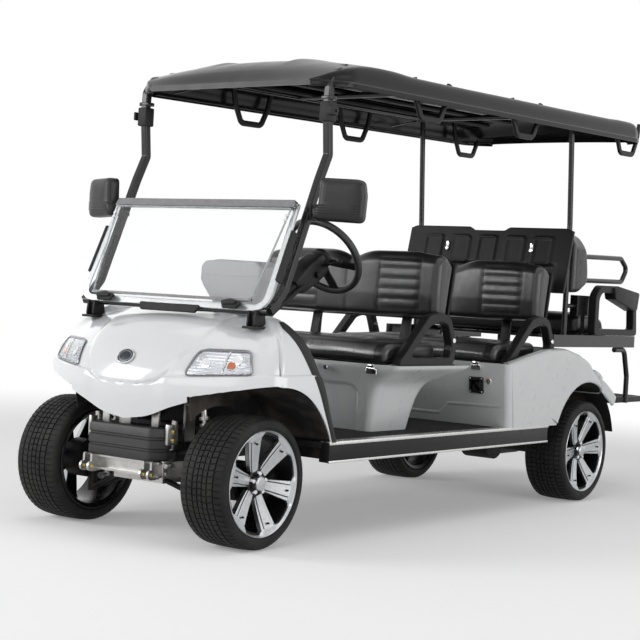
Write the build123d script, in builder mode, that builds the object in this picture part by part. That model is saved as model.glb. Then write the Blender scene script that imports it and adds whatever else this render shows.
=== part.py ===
from build123d import *
from math import atan, cos, degrees, radians, sin
import os

# Four-plus-two-seat electric golf cart with a rear-facing flip seat. Lengths are in mm.
# +X is the driver's left, the nose points to -Y, and Z 0 is the floor.
# Most Y places are given from an axle: "front" ones from front_axle_y, "rear" ones from rear_axle_y.
os.makedirs("parts", exist_ok=True)

# ---- driving dimensions -------------------------------------------------------------------
wheelbase = 2540
front_axle_y = -1604
rear_axle_y = front_axle_y + wheelbase
front_half_track = 440
rear_half_track = 498
tyre_radius = 255
tyre_width = 218
axle_z = tyre_radius

rim_radius = 203          # machined lip of the rim
barrel_radius = 186       # inside of the rim's barrel
bead_gap = 0.3            # tyre to rim
hub_radius = 52
stub_radius = 15
stub_clearance = 0.05
kingpin_x = 352           # steering pivot, inside the rim's barrel
joint_gap = 5             # between pieces that move past each other
seat_gap = 0.3            # between pieces that sit on each other and move

deck_z = 400              # top of the floor mat, and foot of the body panels
floor_thickness = 25
body_half_width = 600
panel = 5                 # moulded body panels
rail_x = 150              # chassis side rails
rail_width = 50
rail_height = 70
tube_radius = 14          # round steel tubes

roof_half_width = 550
roof_front = 300          # from the front axle
roof_rear = 660           # from the rear axle
roof_lip_z = 1802         # lower edge at the front
roof_rise = 82            # the lip climbs by this towards the rear
roof_skin = 6

seat_pitch = 925          # front row to middle row
seat_half_width = 488
seat_front_y = front_axle_y + 855      # front edge of the front row's cushion
seat_depth = 410
seat_hinge_z = 705
lid_board = 10
armrest_gap = 12
armrest_x = seat_half_width + armrest_gap      # inner face of the armrests
armrest_width = 45

wheel_centre = (220, front_axle_y + 736, 1144)   # steering wheel
wheel_tilt = 35
wheel_radius = 175

frame_top_z = deck_z - floor_thickness
roof_front_y = front_axle_y + roof_front
roof_rear_y = rear_axle_y + roof_rear
roof_length = roof_rear_y - roof_front_y
roof_slope = roof_rise / roof_length


# ---- shapes that several pieces share --------------------------------------------------------
def tube(points, radius, bend):
    """A round tube along filleted straight runs, in the part being built."""
    with BuildLine() as path:
        FilletPolyline(*points, radius=bend)
    with BuildSketch(Plane(origin=path.line @ 0, z_dir=path.line % 0)) as section:
        Circle(radius)
    sweep(sections=section.sketch, path=path.line)


def straight(start, end, radius):
    """A round bar from one point to another."""
    run = Vector(*end) - Vector(*start)
    with BuildSketch(Plane(origin=start, z_dir=run)) as section:
        Circle(radius)
    extrude(to_extrude=section.sketch, amount=run.length)


def block(x, y, z, mode=Mode.ADD):
    """A box from its low and high places on each axis."""
    with BuildSketch(Plane.XY.offset(z[0])) as section:
        with Locations(((x[0] + x[1]) / 2, (y[0] + y[1]) / 2)):
            Rectangle(x[1] - x[0], y[1] - y[0])
    extrude(to_extrude=section.sketch, amount=z[1] - z[0], mode=mode)


def save(piece, name):
    """Label a finished piece and write it."""
    piece.part.label = name
    export_step(piece.part, f"parts/{name}.step")


def side_profile(points, x_low, x_high, mode=Mode.ADD):
    """A plate whose outline is (y, z) points, from x_low to x_high."""
    with BuildSketch(Plane.YZ.offset(x_low)) as section:
        with BuildLine():
            Polyline(*points, close=True)
        make_face()
    extrude(to_extrude=section.sketch, amount=x_high - x_low, mode=mode)


def cross_bar(x_half, y, z, radius):
    straight((-x_half, y, z), (x_half, y, z), radius)


def arch_ring(side, axle_y, inner, outer, x_low, x_high):
    """A round band about an axle, between two places on one side."""
    with BuildSketch(Plane.YZ.offset(side * x_low)) as section:
        with Locations((axle_y, axle_z)):
            Circle(outer)
            Circle(inner, mode=Mode.SUBTRACT)
    extrude(to_extrude=section.sketch, amount=side * (x_high - x_low))


# ---- front cowl --------------------------------------------------------------------------
# height, half width, where the straight side ends, shoulder x, shoulder y, nose y, rear edge y
cowl_rows = [
    (deck_z, 600, 40, 535, -70, -200, 372),
    (470, 602, 40, 535, -70, -205, 338),
    (600, 602, 40, 532, -72, -240, 275),
    (712, 588, 50, 505, -55, -197, 222),
    (790, 560, 70, 450, -10, -115, 185),
    (845, 510, 100, 380, 50, -30, 158),
    (880, 460, 125, 300, 110, 60, 140),
]
front_arch_radius = 370
# x and z of the chin's lower edge, from the middle out
chin_edge = [(0, 463), (235, 528), (460, 597), (620, 632)]


def cowl_form(inset, rear_extra=0):
    """The cowl's outer form, or the space inside it, as ruled sections between heights."""
    for low in range(len(cowl_rows) - 1):
        sections = Sketch()
        for row in (low, low + 1):
            height, half, side_y, shoulder_x, shoulder_y, nose, rear = cowl_rows[row]
            drop = inset if row else 0
            with BuildSketch(Plane.XY.offset(height - drop), mode=Mode.PRIVATE) as section:
                with BuildLine():
                    side = (half - inset, front_axle_y + side_y)
                    shoulder = (shoulder_x - inset, front_axle_y + shoulder_y + inset)
                    back = front_axle_y + rear + rear_extra
                    TangentArc(side, shoulder, tangent=(0, -1))
                    ThreePointArc(shoulder, (0, front_axle_y + nose + inset),
                                  (-shoulder[0], shoulder[1]))
                    TangentArc((-side[0], side[1]), (-shoulder[0], shoulder[1]), tangent=(0, -1))
                    Polyline((-side[0], side[1]), (-side[0], back), (side[0], back), side)
                make_face()
            sections += section.sketch
        loft(sections=sections.faces(), ruled=True)


with BuildPart() as cowl_solid:
    cowl_form(0)

with BuildPart() as cowl_space:
    cowl_form(panel, rear_extra=30)

flare_proud = 7           # the lips stand out from the panels
flare_width = 32
flare_inner_x = 420
flare_front_y = front_axle_y - 60
arch_low_z = 415          # foot of the lips and liners
outside_x = body_half_width + 40
arch_span = (front_axle_y - 500, front_axle_y + 500)
with BuildPart() as front_flares:
    for side in (-1, 1):
        arch_ring(side, front_axle_y, front_arch_radius, front_arch_radius + flare_width, flare_inner_x,
                  outside_x)
    block((-outside_x, outside_x), arch_span, (-200, arch_low_z), mode=Mode.SUBTRACT)
    block((-outside_x, outside_x), (arch_span[0], flare_front_y), (-200, 900), mode=Mode.SUBTRACT)

with BuildPart() as flare_space:
    cowl_form(-flare_proud)
    add(front_flares.part, mode=Mode.INTERSECT)

with BuildPart() as cowl:
    add(cowl_solid.part)
    add(flare_space.part)
    add(cowl_space.part, mode=Mode.SUBTRACT)
    with BuildSketch(Plane.YZ.offset(300)):
        with Locations((front_axle_y, axle_z)):
            Circle(front_arch_radius)
    extrude(amount=320, mode=Mode.SUBTRACT)
    with BuildSketch(Plane.YZ.offset(-300)):
        with Locations((front_axle_y, axle_z)):
            Circle(front_arch_radius)
    extrude(amount=-320, mode=Mode.SUBTRACT)
    with BuildSketch(Plane.XZ.offset(-front_axle_y)):
        with BuildLine():
            left = [(-x, z) for x, z in reversed(chin_edge[1:])]
            Polyline(*left, *chin_edge, (620, 380), (-620, 380), close=True)
        make_face()
    extrude(amount=300, mode=Mode.SUBTRACT)
save(cowl, "cowl")

liner_thickness = 5
liner_wall_x = 300
liner_wall_radius = 275   # the steered tyre swings in under this
with BuildPart() as arch_liners:
    ring = (front_arch_radius - liner_thickness, front_arch_radius)
    for side in (-1, 1):
        arch_ring(side, front_axle_y, *ring, liner_wall_x, body_half_width)
        arch_ring(side, front_axle_y, liner_wall_radius, front_arch_radius, liner_wall_x,
                  liner_wall_x + liner_thickness)
    block((-outside_x, outside_x), arch_span, (-200, arch_low_z), mode=Mode.SUBTRACT)
    add(cowl_space.part, mode=Mode.INTERSECT)
save(arch_liners, "arch_liners")

# ---- dash, bumper, lamps and badge -----------------------------------------------------------
dash_line = [(row[6], row[0]) for row in cowl_rows]
dash_inset = 22
dash_thickness = 8
with BuildPart() as dash:
    outer = [(front_axle_y + y - dash_inset, z) for y, z in dash_line]
    inner = [(y - dash_thickness, z) for y, z in reversed(outer)]
    side_profile(outer + inner, -body_half_width, body_half_width)
    add(cowl_space.part, mode=Mode.INTERSECT)
    add(arch_liners.part, mode=Mode.SUBTRACT)
save(dash, "dash")

# y from the front axle, and z
pod_outline = [(92, 880), (205, 880), (222, 962), (206, 1084), (172, 1094), (140, 1076), (112, 960)]
pod_x = (85, 385)
with BuildPart() as dash_pod:
    side_profile([(front_axle_y + y, z + seat_gap) for y, z in pod_outline], *pod_x)
    fillet(dash_pod.edges().filter_by(Axis.X).group_by(Axis.Z)[-1], 10)
save(dash_pod, "dash_pod")

bumper_front = front_axle_y - 232
bumper_rear = front_axle_y - 120
bumper_z = (310, 440)
groove = 8
strap_top_z = 500
bumper_straps = [(-150, 36), (-60, 60), (110, 36)]      # x and width of each upright strap
with BuildPart() as bumper:
    with BuildSketch(Plane.XY.offset(bumper_z[0])):
        with BuildLine():
            Polyline((-160, bumper_front), (160, bumper_front), (200, bumper_front + 60),
                     (200, bumper_rear), (-200, bumper_rear), (-200, bumper_front + 60), close=True)
        make_face()
    extrude(amount=bumper_z[1] - bumper_z[0])
    for height in (342, 375, 408):
        block((-210, 210), (bumper_front - 1, bumper_front + groove), (height, height + groove),
              mode=Mode.SUBTRACT)
    for x, width in bumper_straps:
        block((x, x + width), (bumper_front + 62, bumper_front + 74), (bumper_z[1] - 10, strap_top_z))
save(bumper, "bumper")

lamp_z = (655, 742)
lamp_x = (290, 505)
lamp_proud = 4
with BuildPart() as lamp_space:
    cowl_form(-lamp_proud)
with BuildPart() as headlights:
    for side in (-1, 1):
        low, high = sorted((side * lamp_x[0], side * lamp_x[1]))
        block((low, high), (front_axle_y - 250, front_axle_y), lamp_z)
    add(lamp_space.part, mode=Mode.INTERSECT)
    add(cowl_solid.part, mode=Mode.SUBTRACT)
save(headlights, "headlights")

badge_centre_z = 700
with BuildPart() as badge:
    with BuildSketch(Plane.XZ.offset(-(front_axle_y - 100))):
        with Locations((0, badge_centre_z)):
            Ellipse(42, 26)
    extrude(amount=150)
    add(lamp_space.part, mode=Mode.INTERSECT)
    add(cowl_solid.part, mode=Mode.SUBTRACT)
save(badge, "badge")

# ---- chassis frame and floor ---------------------------------------------------------------
rail_front_y = bumper_rear
rail_rear_y = rear_axle_y + 420
rail_z = (frame_top_z - rail_height, frame_top_z)
outrigger_y = [front_axle_y + 360, front_axle_y + 860, front_axle_y + 1360, front_axle_y + 1860]
with BuildPart() as chassis_frame:
    for side in (-1, 1):
        centre = side * rail_x
        block((centre - rail_width / 2, centre + rail_width / 2), (rail_front_y, rail_rear_y), rail_z)
    for y in outrigger_y:
        block((-555, 555), (y, y + 40), (frame_top_z - 45, frame_top_z))
    for y in (rail_front_y, rail_rear_y - 40):
        block((-rail_x, rail_x), (y, y + 40), rail_z)
save(chassis_frame, "chassis_frame")

floor_front_y = front_axle_y + 335
floor_rear_y = rear_axle_y - 395
rocker_x = 555
with BuildPart() as floor:
    block((-rocker_x, rocker_x), (floor_front_y, floor_rear_y), (frame_top_z, deck_z))
save(floor, "floor")

rocker_z = (320, deck_z)
with BuildPart() as rockers:
    for side in (-1, 1):
        low, high = sorted((side * rocker_x, side * (body_half_width - 4)))
        block((low, high), (floor_front_y, floor_rear_y), rocker_z)
save(rockers, "rockers")

# ---- seat pods and rear body ---------------------------------------------------------------
pod_top_z = seat_hinge_z - lid_board - seat_gap
front_pod_rows = [   # height, half width, front y, rear y
    (deck_z, body_half_width - 200, seat_front_y + 40, seat_front_y + 375),
    (600, body_half_width - 170, seat_front_y + 45, seat_front_y + 430),
    (625, body_half_width - 100, seat_front_y + 20, seat_front_y + 480),
    (pod_top_z, body_half_width - 45, seat_front_y + 12, seat_front_y + 615),
]


def pod_form(rows, inset):
    for low in range(len(rows) - 1):
        sections = Sketch()
        for height, half, front_y, rear_y in rows[low:low + 2]:
            lid = inset if height == rows[-1][0] else 0
            with BuildSketch(Plane.XY.offset(height - lid), mode=Mode.PRIVATE) as section:
                with Locations((0, (front_y + rear_y) / 2)):
                    Rectangle(2 * (half - inset), rear_y - front_y - 2 * inset)
            sections += section.sketch
        loft(sections=sections.faces(), ruled=True)


with BuildPart() as front_pod_space:
    pod_form(front_pod_rows, panel)
with BuildPart() as seat_pod_front:
    pod_form(front_pod_rows, 0)
    add(front_pod_space.part, mode=Mode.SUBTRACT)
save(seat_pod_front, "seat_pod_front")

rear_arch_radius = 350
body_front_y = rear_axle_y - 800
recess_rear_y = rear_axle_y - 240
# y from the rear axle and z of the quarter panel's outline
quarter_outline = [(-784, deck_z), (-822, 706), (-407, 771), (-219, 775), (-73, 745), (32, 709),
                   (135, 624), (203, 537), (240, 452), (110, 445)]
with BuildPart() as rear_flares:
    for side in (-1, 1):
        arch_ring(side, rear_axle_y, rear_arch_radius, rear_arch_radius + flare_width,
                  body_half_width - panel, body_half_width + flare_proud)
    flare_limit = [(rear_axle_y + y, z - 12) for y, z in quarter_outline[1:]]
    with BuildPart(mode=Mode.PRIVATE) as limit:
        side_profile(flare_limit[:-1] + [(rear_axle_y + 240, arch_low_z), (rear_axle_y - 700, arch_low_z)],
                     -outside_x, outside_x)
    add(limit.part, mode=Mode.INTERSECT)

with BuildPart() as rear_body:
    outline = [(rear_axle_y + y, z) for y, z in quarter_outline]
    side_profile(outline, -body_half_width, body_half_width)
    side_edges = rear_body.edges().filter_by(lambda e: abs(e.center().X) > body_half_width - 1)
    fillet(side_edges.filter_by(lambda e: e.center().Z > 480 and e.center().Y > rear_axle_y - 815), 30)
    front_low = [(rear_axle_y - 784 + panel, deck_z - 1), (rear_axle_y - 822 + panel, pod_top_z - panel)]
    under_seat = [(recess_rear_y - panel, pod_top_z - panel), (recess_rear_y + panel, 773 - panel)]
    quarter_top = [(rear_axle_y - 407, 771 - panel)]
    tail = [(rear_axle_y + y, z - panel) for y, z in quarter_outline[3:6]]
    tail += [(rear_axle_y + 129, 621), (rear_axle_y + 196, 535), (rear_axle_y + 232, 440),
             (rear_axle_y + 110, 430)]
    side_profile(front_low + under_seat + tail, -body_half_width + panel, body_half_width - panel,
                 mode=Mode.SUBTRACT)
    for low, high in ((560, body_half_width - panel), (panel - body_half_width, -560)):
        side_profile(front_low + quarter_top + tail, low, high, mode=Mode.SUBTRACT)
    block((-555, 555), (body_front_y - 60, recess_rear_y), (pod_top_z, 800), mode=Mode.SUBTRACT)
    for side in (-1, 1):
        with BuildSketch(Plane.YZ.offset(side * 370)):
            with Locations((rear_axle_y, axle_z)):
                Circle(rear_arch_radius)
        extrude(amount=side * 240, mode=Mode.SUBTRACT)
    add(rear_flares.part)
save(rear_body, "rear_body")

# ---- wheels, knuckles and front suspension ---------------------------------------------------
tyre_section = [(96, 190), (96, 204), (109, 214), (109, 232), (90, 251), (40, 255)]
rim_half_width = 104
barrel_outer = 190
spoke_low = 62            # from the wheel's middle, outwards
spoke_thickness = 22
spoke_count = 6
hub_low = 20
hub_high = 76
cap_radius = 29
drum_radius = 78
stub_end = 55


def wheel_plane(side, half_track, axle_y):
    """Axial distance outwards is the plane's x, and height over the axle its y."""
    return Plane(origin=(side * half_track, axle_y, axle_z), x_dir=(side, 0, 0), z_dir=(0, -side, 0))


def disc(side, centre, low, high, radius, mode=Mode.ADD):
    """A round slice of the wheel between two axial distances from its middle."""
    with BuildSketch(Plane(origin=(centre[0] + side * low, centre[1], centre[2]),
                           x_dir=(0, 1, 0), z_dir=(side, 0, 0))) as section:
        Circle(radius)
    extrude(to_extrude=section.sketch, amount=high - low, mode=mode)


wheels = [("front_left", 1, front_half_track, front_axle_y),
          ("front_right", -1, front_half_track, front_axle_y),
          ("rear_left", 1, rear_half_track, rear_axle_y),
          ("rear_right", -1, rear_half_track, rear_axle_y)]
for place, side, half_track, axle_y in wheels:
    centre = (side * half_track, axle_y, axle_z)
    axle = Axis(centre, (1, 0, 0))
    with BuildPart() as tyre:
        with BuildSketch(wheel_plane(side, half_track, axle_y)):
            with BuildLine():
                outer = [(u, r) for u, r in tyre_section]
                inner = [(-u, r) for u, r in reversed(tyre_section)]
                outer[0], inner[-1] = (96 - bead_gap, 190 + bead_gap), (bead_gap - 96, 190 + bead_gap)
                Polyline(*outer, *inner, close=True)
            make_face()
        revolve(axis=axle)
    save(tyre, f"tyre_{place}")
    with BuildPart() as rim:
        with BuildSketch(wheel_plane(side, half_track, axle_y)):
            with BuildLine():
                Polyline((rim_half_width, rim_radius), (96, rim_radius), (96, barrel_outer),
                         (-96, barrel_outer), (-96, rim_radius), (-rim_half_width, rim_radius),
                         (-rim_half_width, barrel_radius), (90, barrel_radius),
                         (rim_half_width, 194), close=True)
            make_face()
        revolve(axis=axle)
        with BuildSketch(Plane(origin=(centre[0] + side * spoke_low, centre[1], centre[2]),
                               x_dir=(0, 1, 0), z_dir=(side, 0, 0))) as spokes:
            with PolarLocations(0, spoke_count, start_angle=90):
                Polygon((40, -18), (185, -36), (185, 36), (40, 18), align=None)
        extrude(to_extrude=spokes.sketch, amount=spoke_thickness)
        disc(side, centre, hub_low, hub_high, hub_radius)
        disc(side, centre, hub_high, hub_high + 14, cap_radius)
        disc(side, centre, hub_low - 1, stub_end + joint_gap, stub_radius + stub_clearance, mode=Mode.SUBTRACT)
    save(rim, f"rim_{place}")

kingpin_z = (160, 350)
kingpin_radius = 18
rack_y = front_axle_y + 90
rack_z = 236
rack_radius = 12
eye_radius = 14
eye_half = rack_radius + 3
arm_thickness = 14
rack_travel = 38
eye_x = kingpin_x - 9
for name, side in (("left", 1), ("right", -1)):
    with BuildPart() as knuckle:
        straight((side * kingpin_x, front_axle_y, kingpin_z[0]), (side * kingpin_x, front_axle_y, kingpin_z[1]),
                 kingpin_radius)
        centre = (side * front_half_track, front_axle_y, axle_z)
        disc(side, centre, kingpin_x - front_half_track, stub_end, stub_radius)
        disc(side, centre, -62, hub_low - joint_gap - 1, drum_radius)
        low, high = sorted((side * (kingpin_x - 12), side * (kingpin_x + 12)))
        arm_top = rack_z - eye_half - joint_gap
        block((low, high), (front_axle_y, rack_y + eye_radius), (arm_top - arm_thickness, arm_top))
    save(knuckle, f"knuckle_{name}")

ball_radius = 20
channel_y = (bumper_front + 20, bumper_front + 66)
channel_z = (252, bumper_z[0] - seat_gap)
eye_bracket_z = 262
with BuildPart() as front_subframe:
    block((-130, 130), (front_axle_y - 110, front_axle_y + 40), (215, rail_z[0]))
    for side in (-1, 1):
        inner_x, outer_x = side * 150, side * 160
        block(sorted((inner_x, outer_x)), (front_axle_y - 30, front_axle_y + 30), (frame_top_z, 530))
        block(sorted((inner_x, side * 245)), (front_axle_y - 30, front_axle_y + 30), (520, 530))
        block(sorted((side * 95, side * 125)), (channel_y[1] - 5, front_axle_y - 105), (268, 300))
        for x in (side * 178, side * 138):
            straight((x - 5, channel_y[0] - 22, eye_bracket_z), (x + 5, channel_y[0] - 22, eye_bracket_z), 20)
            block((x - 5, x + 5), (channel_y[0] - 22, channel_y[0] + 4), (eye_bracket_z - 20, channel_z[1]))
    block((-200, 200), channel_y, channel_z)
    block((-210, 210), (channel_y[0] - 1, channel_y[0] + 22), (channel_z[0] + 8, channel_z[1] - 8),
          mode=Mode.SUBTRACT)
    for side in (-1, 1):
        for x in (side * 178, side * 138):
            block((x - 5, x + 5), (channel_y[0] - 20, channel_y[0] + 24), (eye_bracket_z - 18, channel_z[1]))
save(front_subframe, "front_subframe")

with BuildPart() as control_arms:
    for side in (-1, 1):
        for low_y, high_y in ((-90, -90), (22, 90)):
            straight((side * 125, front_axle_y + low_y, 228),
                     (side * kingpin_x, front_axle_y, kingpin_z[0] - 24), 11)
            straight((side * rail_x, front_axle_y + high_y, 338),
                     (side * kingpin_x, front_axle_y, kingpin_z[1] + 17), 10)
        pin = (side * kingpin_x, front_axle_y)
        straight((*pin, kingpin_z[0] - 34), (*pin, kingpin_z[0] - seat_gap), ball_radius)
        straight((*pin, kingpin_z[1] + seat_gap), (*pin, kingpin_z[1] + 28), ball_radius)
    block((-130, 130), (front_axle_y - 150, front_axle_y + 80), (180, rail_z[0]), mode=Mode.SUBTRACT)
    block((-175, 175), (front_axle_y - 150, front_axle_y + 150), rail_z, mode=Mode.SUBTRACT)
save(control_arms, "control_arms")

shock_top = (225, 520)    # x and z
shock_foot = (280, 196)
rod_radius = 12
coil_radius = 21
spring_coils = 9
with BuildPart() as front_shocks:
    for side in (-1, 1):
        top, foot = ((side * x, front_axle_y, z) for x, z in (shock_top, shock_foot))
        run = Vector(*top) - Vector(*foot)
        straight(foot, top, rod_radius)
        for coil in range(spring_coils):
            low = Vector(*foot) + run * (0.22 + 0.7 * coil / spring_coils)
            straight(tuple(low), tuple(low + run.normalized() * rod_radius), coil_radius)
        straight((foot[0], foot[1] - 34, foot[2]), (foot[0], foot[1] + 34, foot[2]), 14)
    block((-400, 400), (front_axle_y - 40, front_axle_y + 40), (shock_top[1] - seat_gap, 560), mode=Mode.SUBTRACT)
    add(control_arms.part, mode=Mode.SUBTRACT)
save(front_shocks, "front_shocks")

with BuildPart() as rack_housing:
    straight((-170, rack_y, rack_z), (170, rack_y, rack_z), 24)
    for side in (-1, 1):
        low, high = sorted((side * 130, side * 170))
        block((low, high), (rack_y - 20, rack_y + 20), (rack_z, rail_z[0]))
    with BuildSketch(Plane.YZ.offset(-180)):
        with Locations((rack_y, rack_z)):
            Circle(rack_radius + 0.5)
    extrude(amount=360, mode=Mode.SUBTRACT)
save(rack_housing, "rack_housing")

with BuildPart() as steering_rack:
    cross_bar(eye_x, rack_y, rack_z, rack_radius)
    for side in (-1, 1):
        straight((side * eye_x, rack_y, rack_z - eye_half), (side * eye_x, rack_y, rack_z + eye_half),
                 eye_radius)
save(steering_rack, "steering_rack")

# ---- rear axle and masses ----------------------------------------------------------------
axle_tube_radius = 38
diff_radius = 95
spring_x = 230
spring_width = 50
with BuildPart() as rear_axle:
    drum_low = rear_half_track - 70
    cross_bar(drum_low, rear_axle_y, axle_z, axle_tube_radius)
    cross_bar(80, rear_axle_y, axle_z, diff_radius)
    for side in (-1, 1):
        centre = (side * rear_half_track, rear_axle_y, axle_z)
        disc(side, centre, -70, hub_low - joint_gap - 1, drum_radius)
        disc(side, centre, -70, stub_end, stub_radius)
save(rear_axle, "rear_axle")

motor_radius = 85
with BuildPart() as motor:
    straight((0, rear_axle_y + diff_radius + seat_gap, axle_z), (0, rear_axle_y + 340, axle_z), motor_radius)
save(motor, "motor")

spring_half = 330
spring_z = axle_z + axle_tube_radius + seat_gap
with BuildPart() as rear_springs:
    for side in (-1, 1):
        low, high = sorted((side * spring_x, side * (spring_x + spring_width)))
        with BuildSketch(Plane.YZ.offset(low)) as leaf:
            with BuildLine():
                ends = [(rear_axle_y - spring_half, spring_z + 45), (rear_axle_y + spring_half, spring_z + 45)]
                ThreePointArc(ends[0], (rear_axle_y, spring_z), ends[1])
                Line(ends[1], (ends[1][0], ends[1][1] + 18))
                ThreePointArc((ends[1][0], ends[1][1] + 18), (rear_axle_y, spring_z + 18),
                              (ends[0][0], ends[0][1] + 18))
                Line((ends[0][0], ends[0][1] + 18), ends[0])
            make_face()
        extrude(to_extrude=leaf.sketch, amount=high - low)
        for y in (rear_axle_y - spring_half, rear_axle_y + spring_half - 30):
            hanger = sorted((side * (rail_x + rail_width / 2), side * (spring_x + spring_width)))
            block(hanger, (y, y + 30), (spring_z + 40, frame_top_z))
save(rear_springs, "rear_springs")

with BuildPart() as battery:
    block((-330, 330), (seat_front_y + 65, seat_front_y + 345), (deck_z, deck_z + 195))
save(battery, "battery")

# ---- front and middle seats ------------------------------------------------------------------
# y from the row's front edge, and z
cushion_outline = [(5, seat_hinge_z), (-2, 730), (6, 772), (40, 792), (200, 796), (392, 805),
                   (405, 788), (408, seat_hinge_z)]
pad_outline = [(373, 903), (380, 1152), (400, 1186), (428, 1198), (472, 1188), (530, 1148), (486, 897)]
shell_outline = [(486.3, 897), (530.3, 1148), (545, 1140), (501, 890)]
upright_outline = [(462, pod_top_z), (500, pod_top_z), (512, 870), (546, 1060), (531, 1060), (498, 874)]
armrest_outline = [(12, pod_top_z), (250, 913), (356, 928), (426, 907), (486, 787), (462, pod_top_z)]
armrest_bar = 34
armrest_hole = [(100, pod_top_z + armrest_bar), (262, 870), (352, 892), (408, 880), (448, 790),
                (436, pod_top_z + armrest_bar)]
pan_inset = 20

rows = [("front", seat_front_y), ("mid", seat_front_y + seat_pitch)]
for row, y0 in rows:
    with BuildPart() as cushion:
        side_profile([(y0 + y, z) for y, z in cushion_outline], -seat_half_width, seat_half_width)
    save(cushion, f"cushion_{row}")
    with BuildPart() as lid:
        block((pan_inset - seat_half_width, seat_half_width - pan_inset), (y0, y0 + 405),
              (seat_hinge_z - lid_board, seat_hinge_z))
    save(lid, f"seat_lid_{row}")
    with BuildPart() as pad:
        side_profile([(y0 + y, z) for y, z in pad_outline], -490, 490)
    save(pad, f"backrest_{row}")
    with BuildPart() as back:
        side_profile([(y0 + y, z) for y, z in shell_outline], -485, 485)
        for side in (-1, 1):
            low, high = sorted((side * 230, side * 280))
            side_profile([(y0 + y, z) for y, z in upright_outline], low, high)
    save(back, f"back_frame_{row}")

with BuildPart() as armrests:
    for row, y0 in rows:
        for side in (-1, 1):
            low, high = sorted((side * armrest_x, side * (armrest_x + armrest_width)))
            side_profile([(y0 + y, z) for y, z in armrest_outline], low, high)
            side_profile([(y0 + y, z) for y, z in armrest_hole], low, high, mode=Mode.SUBTRACT)
save(armrests, "armrests")

# ---- roof, struts and windshield -------------------------------------------------------------
# x and height over the lip, across the roof
roof_shoulder = [(roof_half_width, 24), (roof_half_width - 20, 78), (roof_half_width - 60, 112), (300, 134)]
roof_section = [(-x, z) for x, z in roof_shoulder] + [(0, 142)] + list(reversed(roof_shoulder))
roof_nose = [(0, 30), (60, 88), (150, 126), (260, 150)]     # y from the front lip, height over it
roof_tail = [(-90, 150), (-24, 118), (0, 70)]               # y from the rear lip
roof_skirt = 60


def roof_form(inset, drop):
    """The roof's outer form, or the space under it, sheared so that it climbs to the rear."""
    with BuildSketch(Plane.XZ.offset(-roof_front_y)) as section:
        with BuildLine():
            top = [(x, roof_lip_z + z) for x, z in roof_section]
            Polyline((-roof_half_width, roof_lip_z - drop), *top, (roof_half_width, roof_lip_z - drop),
                     close=True)
        make_face()
        if inset:
            offset(amount=-inset, kind=Kind.INTERSECTION)
    slope = Vector(0, roof_length, roof_rise)
    extrude(to_extrude=section.sketch, amount=slope.length, dir=slope)
    nose = [(roof_front_y + inset + y, roof_lip_z + z - inset + y * roof_slope) for y, z in roof_nose]
    tail = [(roof_rear_y - inset + y, roof_lip_z + roof_rise + z - inset + y * roof_slope)
            for y, z in roof_tail]
    foot = [(roof_rear_y - inset, roof_lip_z + roof_rise - drop), (roof_front_y + inset, roof_lip_z - drop)]
    side_profile(nose + tail + foot, -roof_half_width, roof_half_width, mode=Mode.INTERSECT)
    with BuildSketch(Plane.XY.offset(roof_lip_z - 100)) as plan:
        with Locations((0, (roof_front_y + roof_rear_y) / 2)):
            RectangleRounded(2 * (roof_half_width - inset), roof_length - 2 * inset, roof_skirt - inset)
    extrude(to_extrude=plan.sketch, amount=500, mode=Mode.INTERSECT)


with BuildPart() as roof_space:
    roof_form(roof_skin, roof_skirt)
with BuildPart() as roof:
    roof_form(0, 0)
    add(roof_space.part, mode=Mode.SUBTRACT)
save(roof, "roof")


def under_roof(y, below):
    """Height of a point under the roof, measured down from the lip's own line."""
    return roof_lip_z + (y - roof_front_y) * roof_slope - below


strut_x = roof_half_width - 60
strut_size = 32
# y from the front axle and z, from the hood up
strut_line = [(40, 905), (72, 930), (127, 991), (227, 1229), (313, 1431), (364, 1535), (356, 1614),
              (345, 1720), (350, 1810), (395, 1872), (478, 1876)]
bar_z = 905
bar_y = front_axle_y + 40
with BuildPart() as front_struts:
    for side in (-1, 1):
        with BuildLine() as run:
            FilletPolyline(*[(side * strut_x, front_axle_y + y, z) for y, z in strut_line], radius=24)
        with BuildSketch(Plane(origin=run.line @ 0, x_dir=(1, 0, 0), z_dir=run.line % 0)) as square:
            Rectangle(strut_size, strut_size)
            fillet(square.vertices(), 6)
        sweep(sections=square.sketch, path=run.line)
        low, high = sorted((side * 415, side * 447))
        block((low, high), (bar_y - 16, bar_y + 16), (780, bar_z))
    cross_bar(strut_x, bar_y, bar_z, 16)
    add(cowl_solid.part, mode=Mode.SUBTRACT)
save(front_struts, "front_struts")

seat_rail_x = (465, 505)
seat_rail_z = (778, 840)
rear_strut_x = seat_rail_x[0] - seat_gap - tube_radius
rear_strut_y = rear_axle_y - 8
rear_strut_top_y = rear_axle_y - 50
frame_x = strut_x - 45
roof_bar_y = [front_axle_y + 480, front_axle_y + 1370, rear_strut_top_y]
frame_bar_below = -93.5
with BuildPart() as rear_struts:
    top_z = under_roof(rear_strut_top_y, frame_bar_below) - tube_radius
    for side in (-1, 1):
        tube([(side * rear_strut_x, rear_strut_y, seat_rail_z[0]), (side * rear_strut_x, rear_strut_y, 1400),
              (side * rear_strut_x, rear_strut_top_y, top_z - seat_gap)], tube_radius, 200)
save(rear_struts, "rear_struts")

with BuildPart() as roof_frame:
    front_z, rear_z = (under_roof(y, frame_bar_below) for y in (roof_bar_y[0], roof_bar_y[-1]))
    for side in (-1, 1):
        straight((side * frame_x, roof_bar_y[0], front_z), (side * frame_x, roof_bar_y[-1], rear_z), tube_radius)
    for y in roof_bar_y:
        cross_bar(strut_x - strut_size / 2, y, under_roof(y, frame_bar_below), tube_radius)
    add(front_struts.part, mode=Mode.SUBTRACT)
    add(rear_struts.part, mode=Mode.SUBTRACT)
save(roof_frame, "roof_frame")

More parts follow.
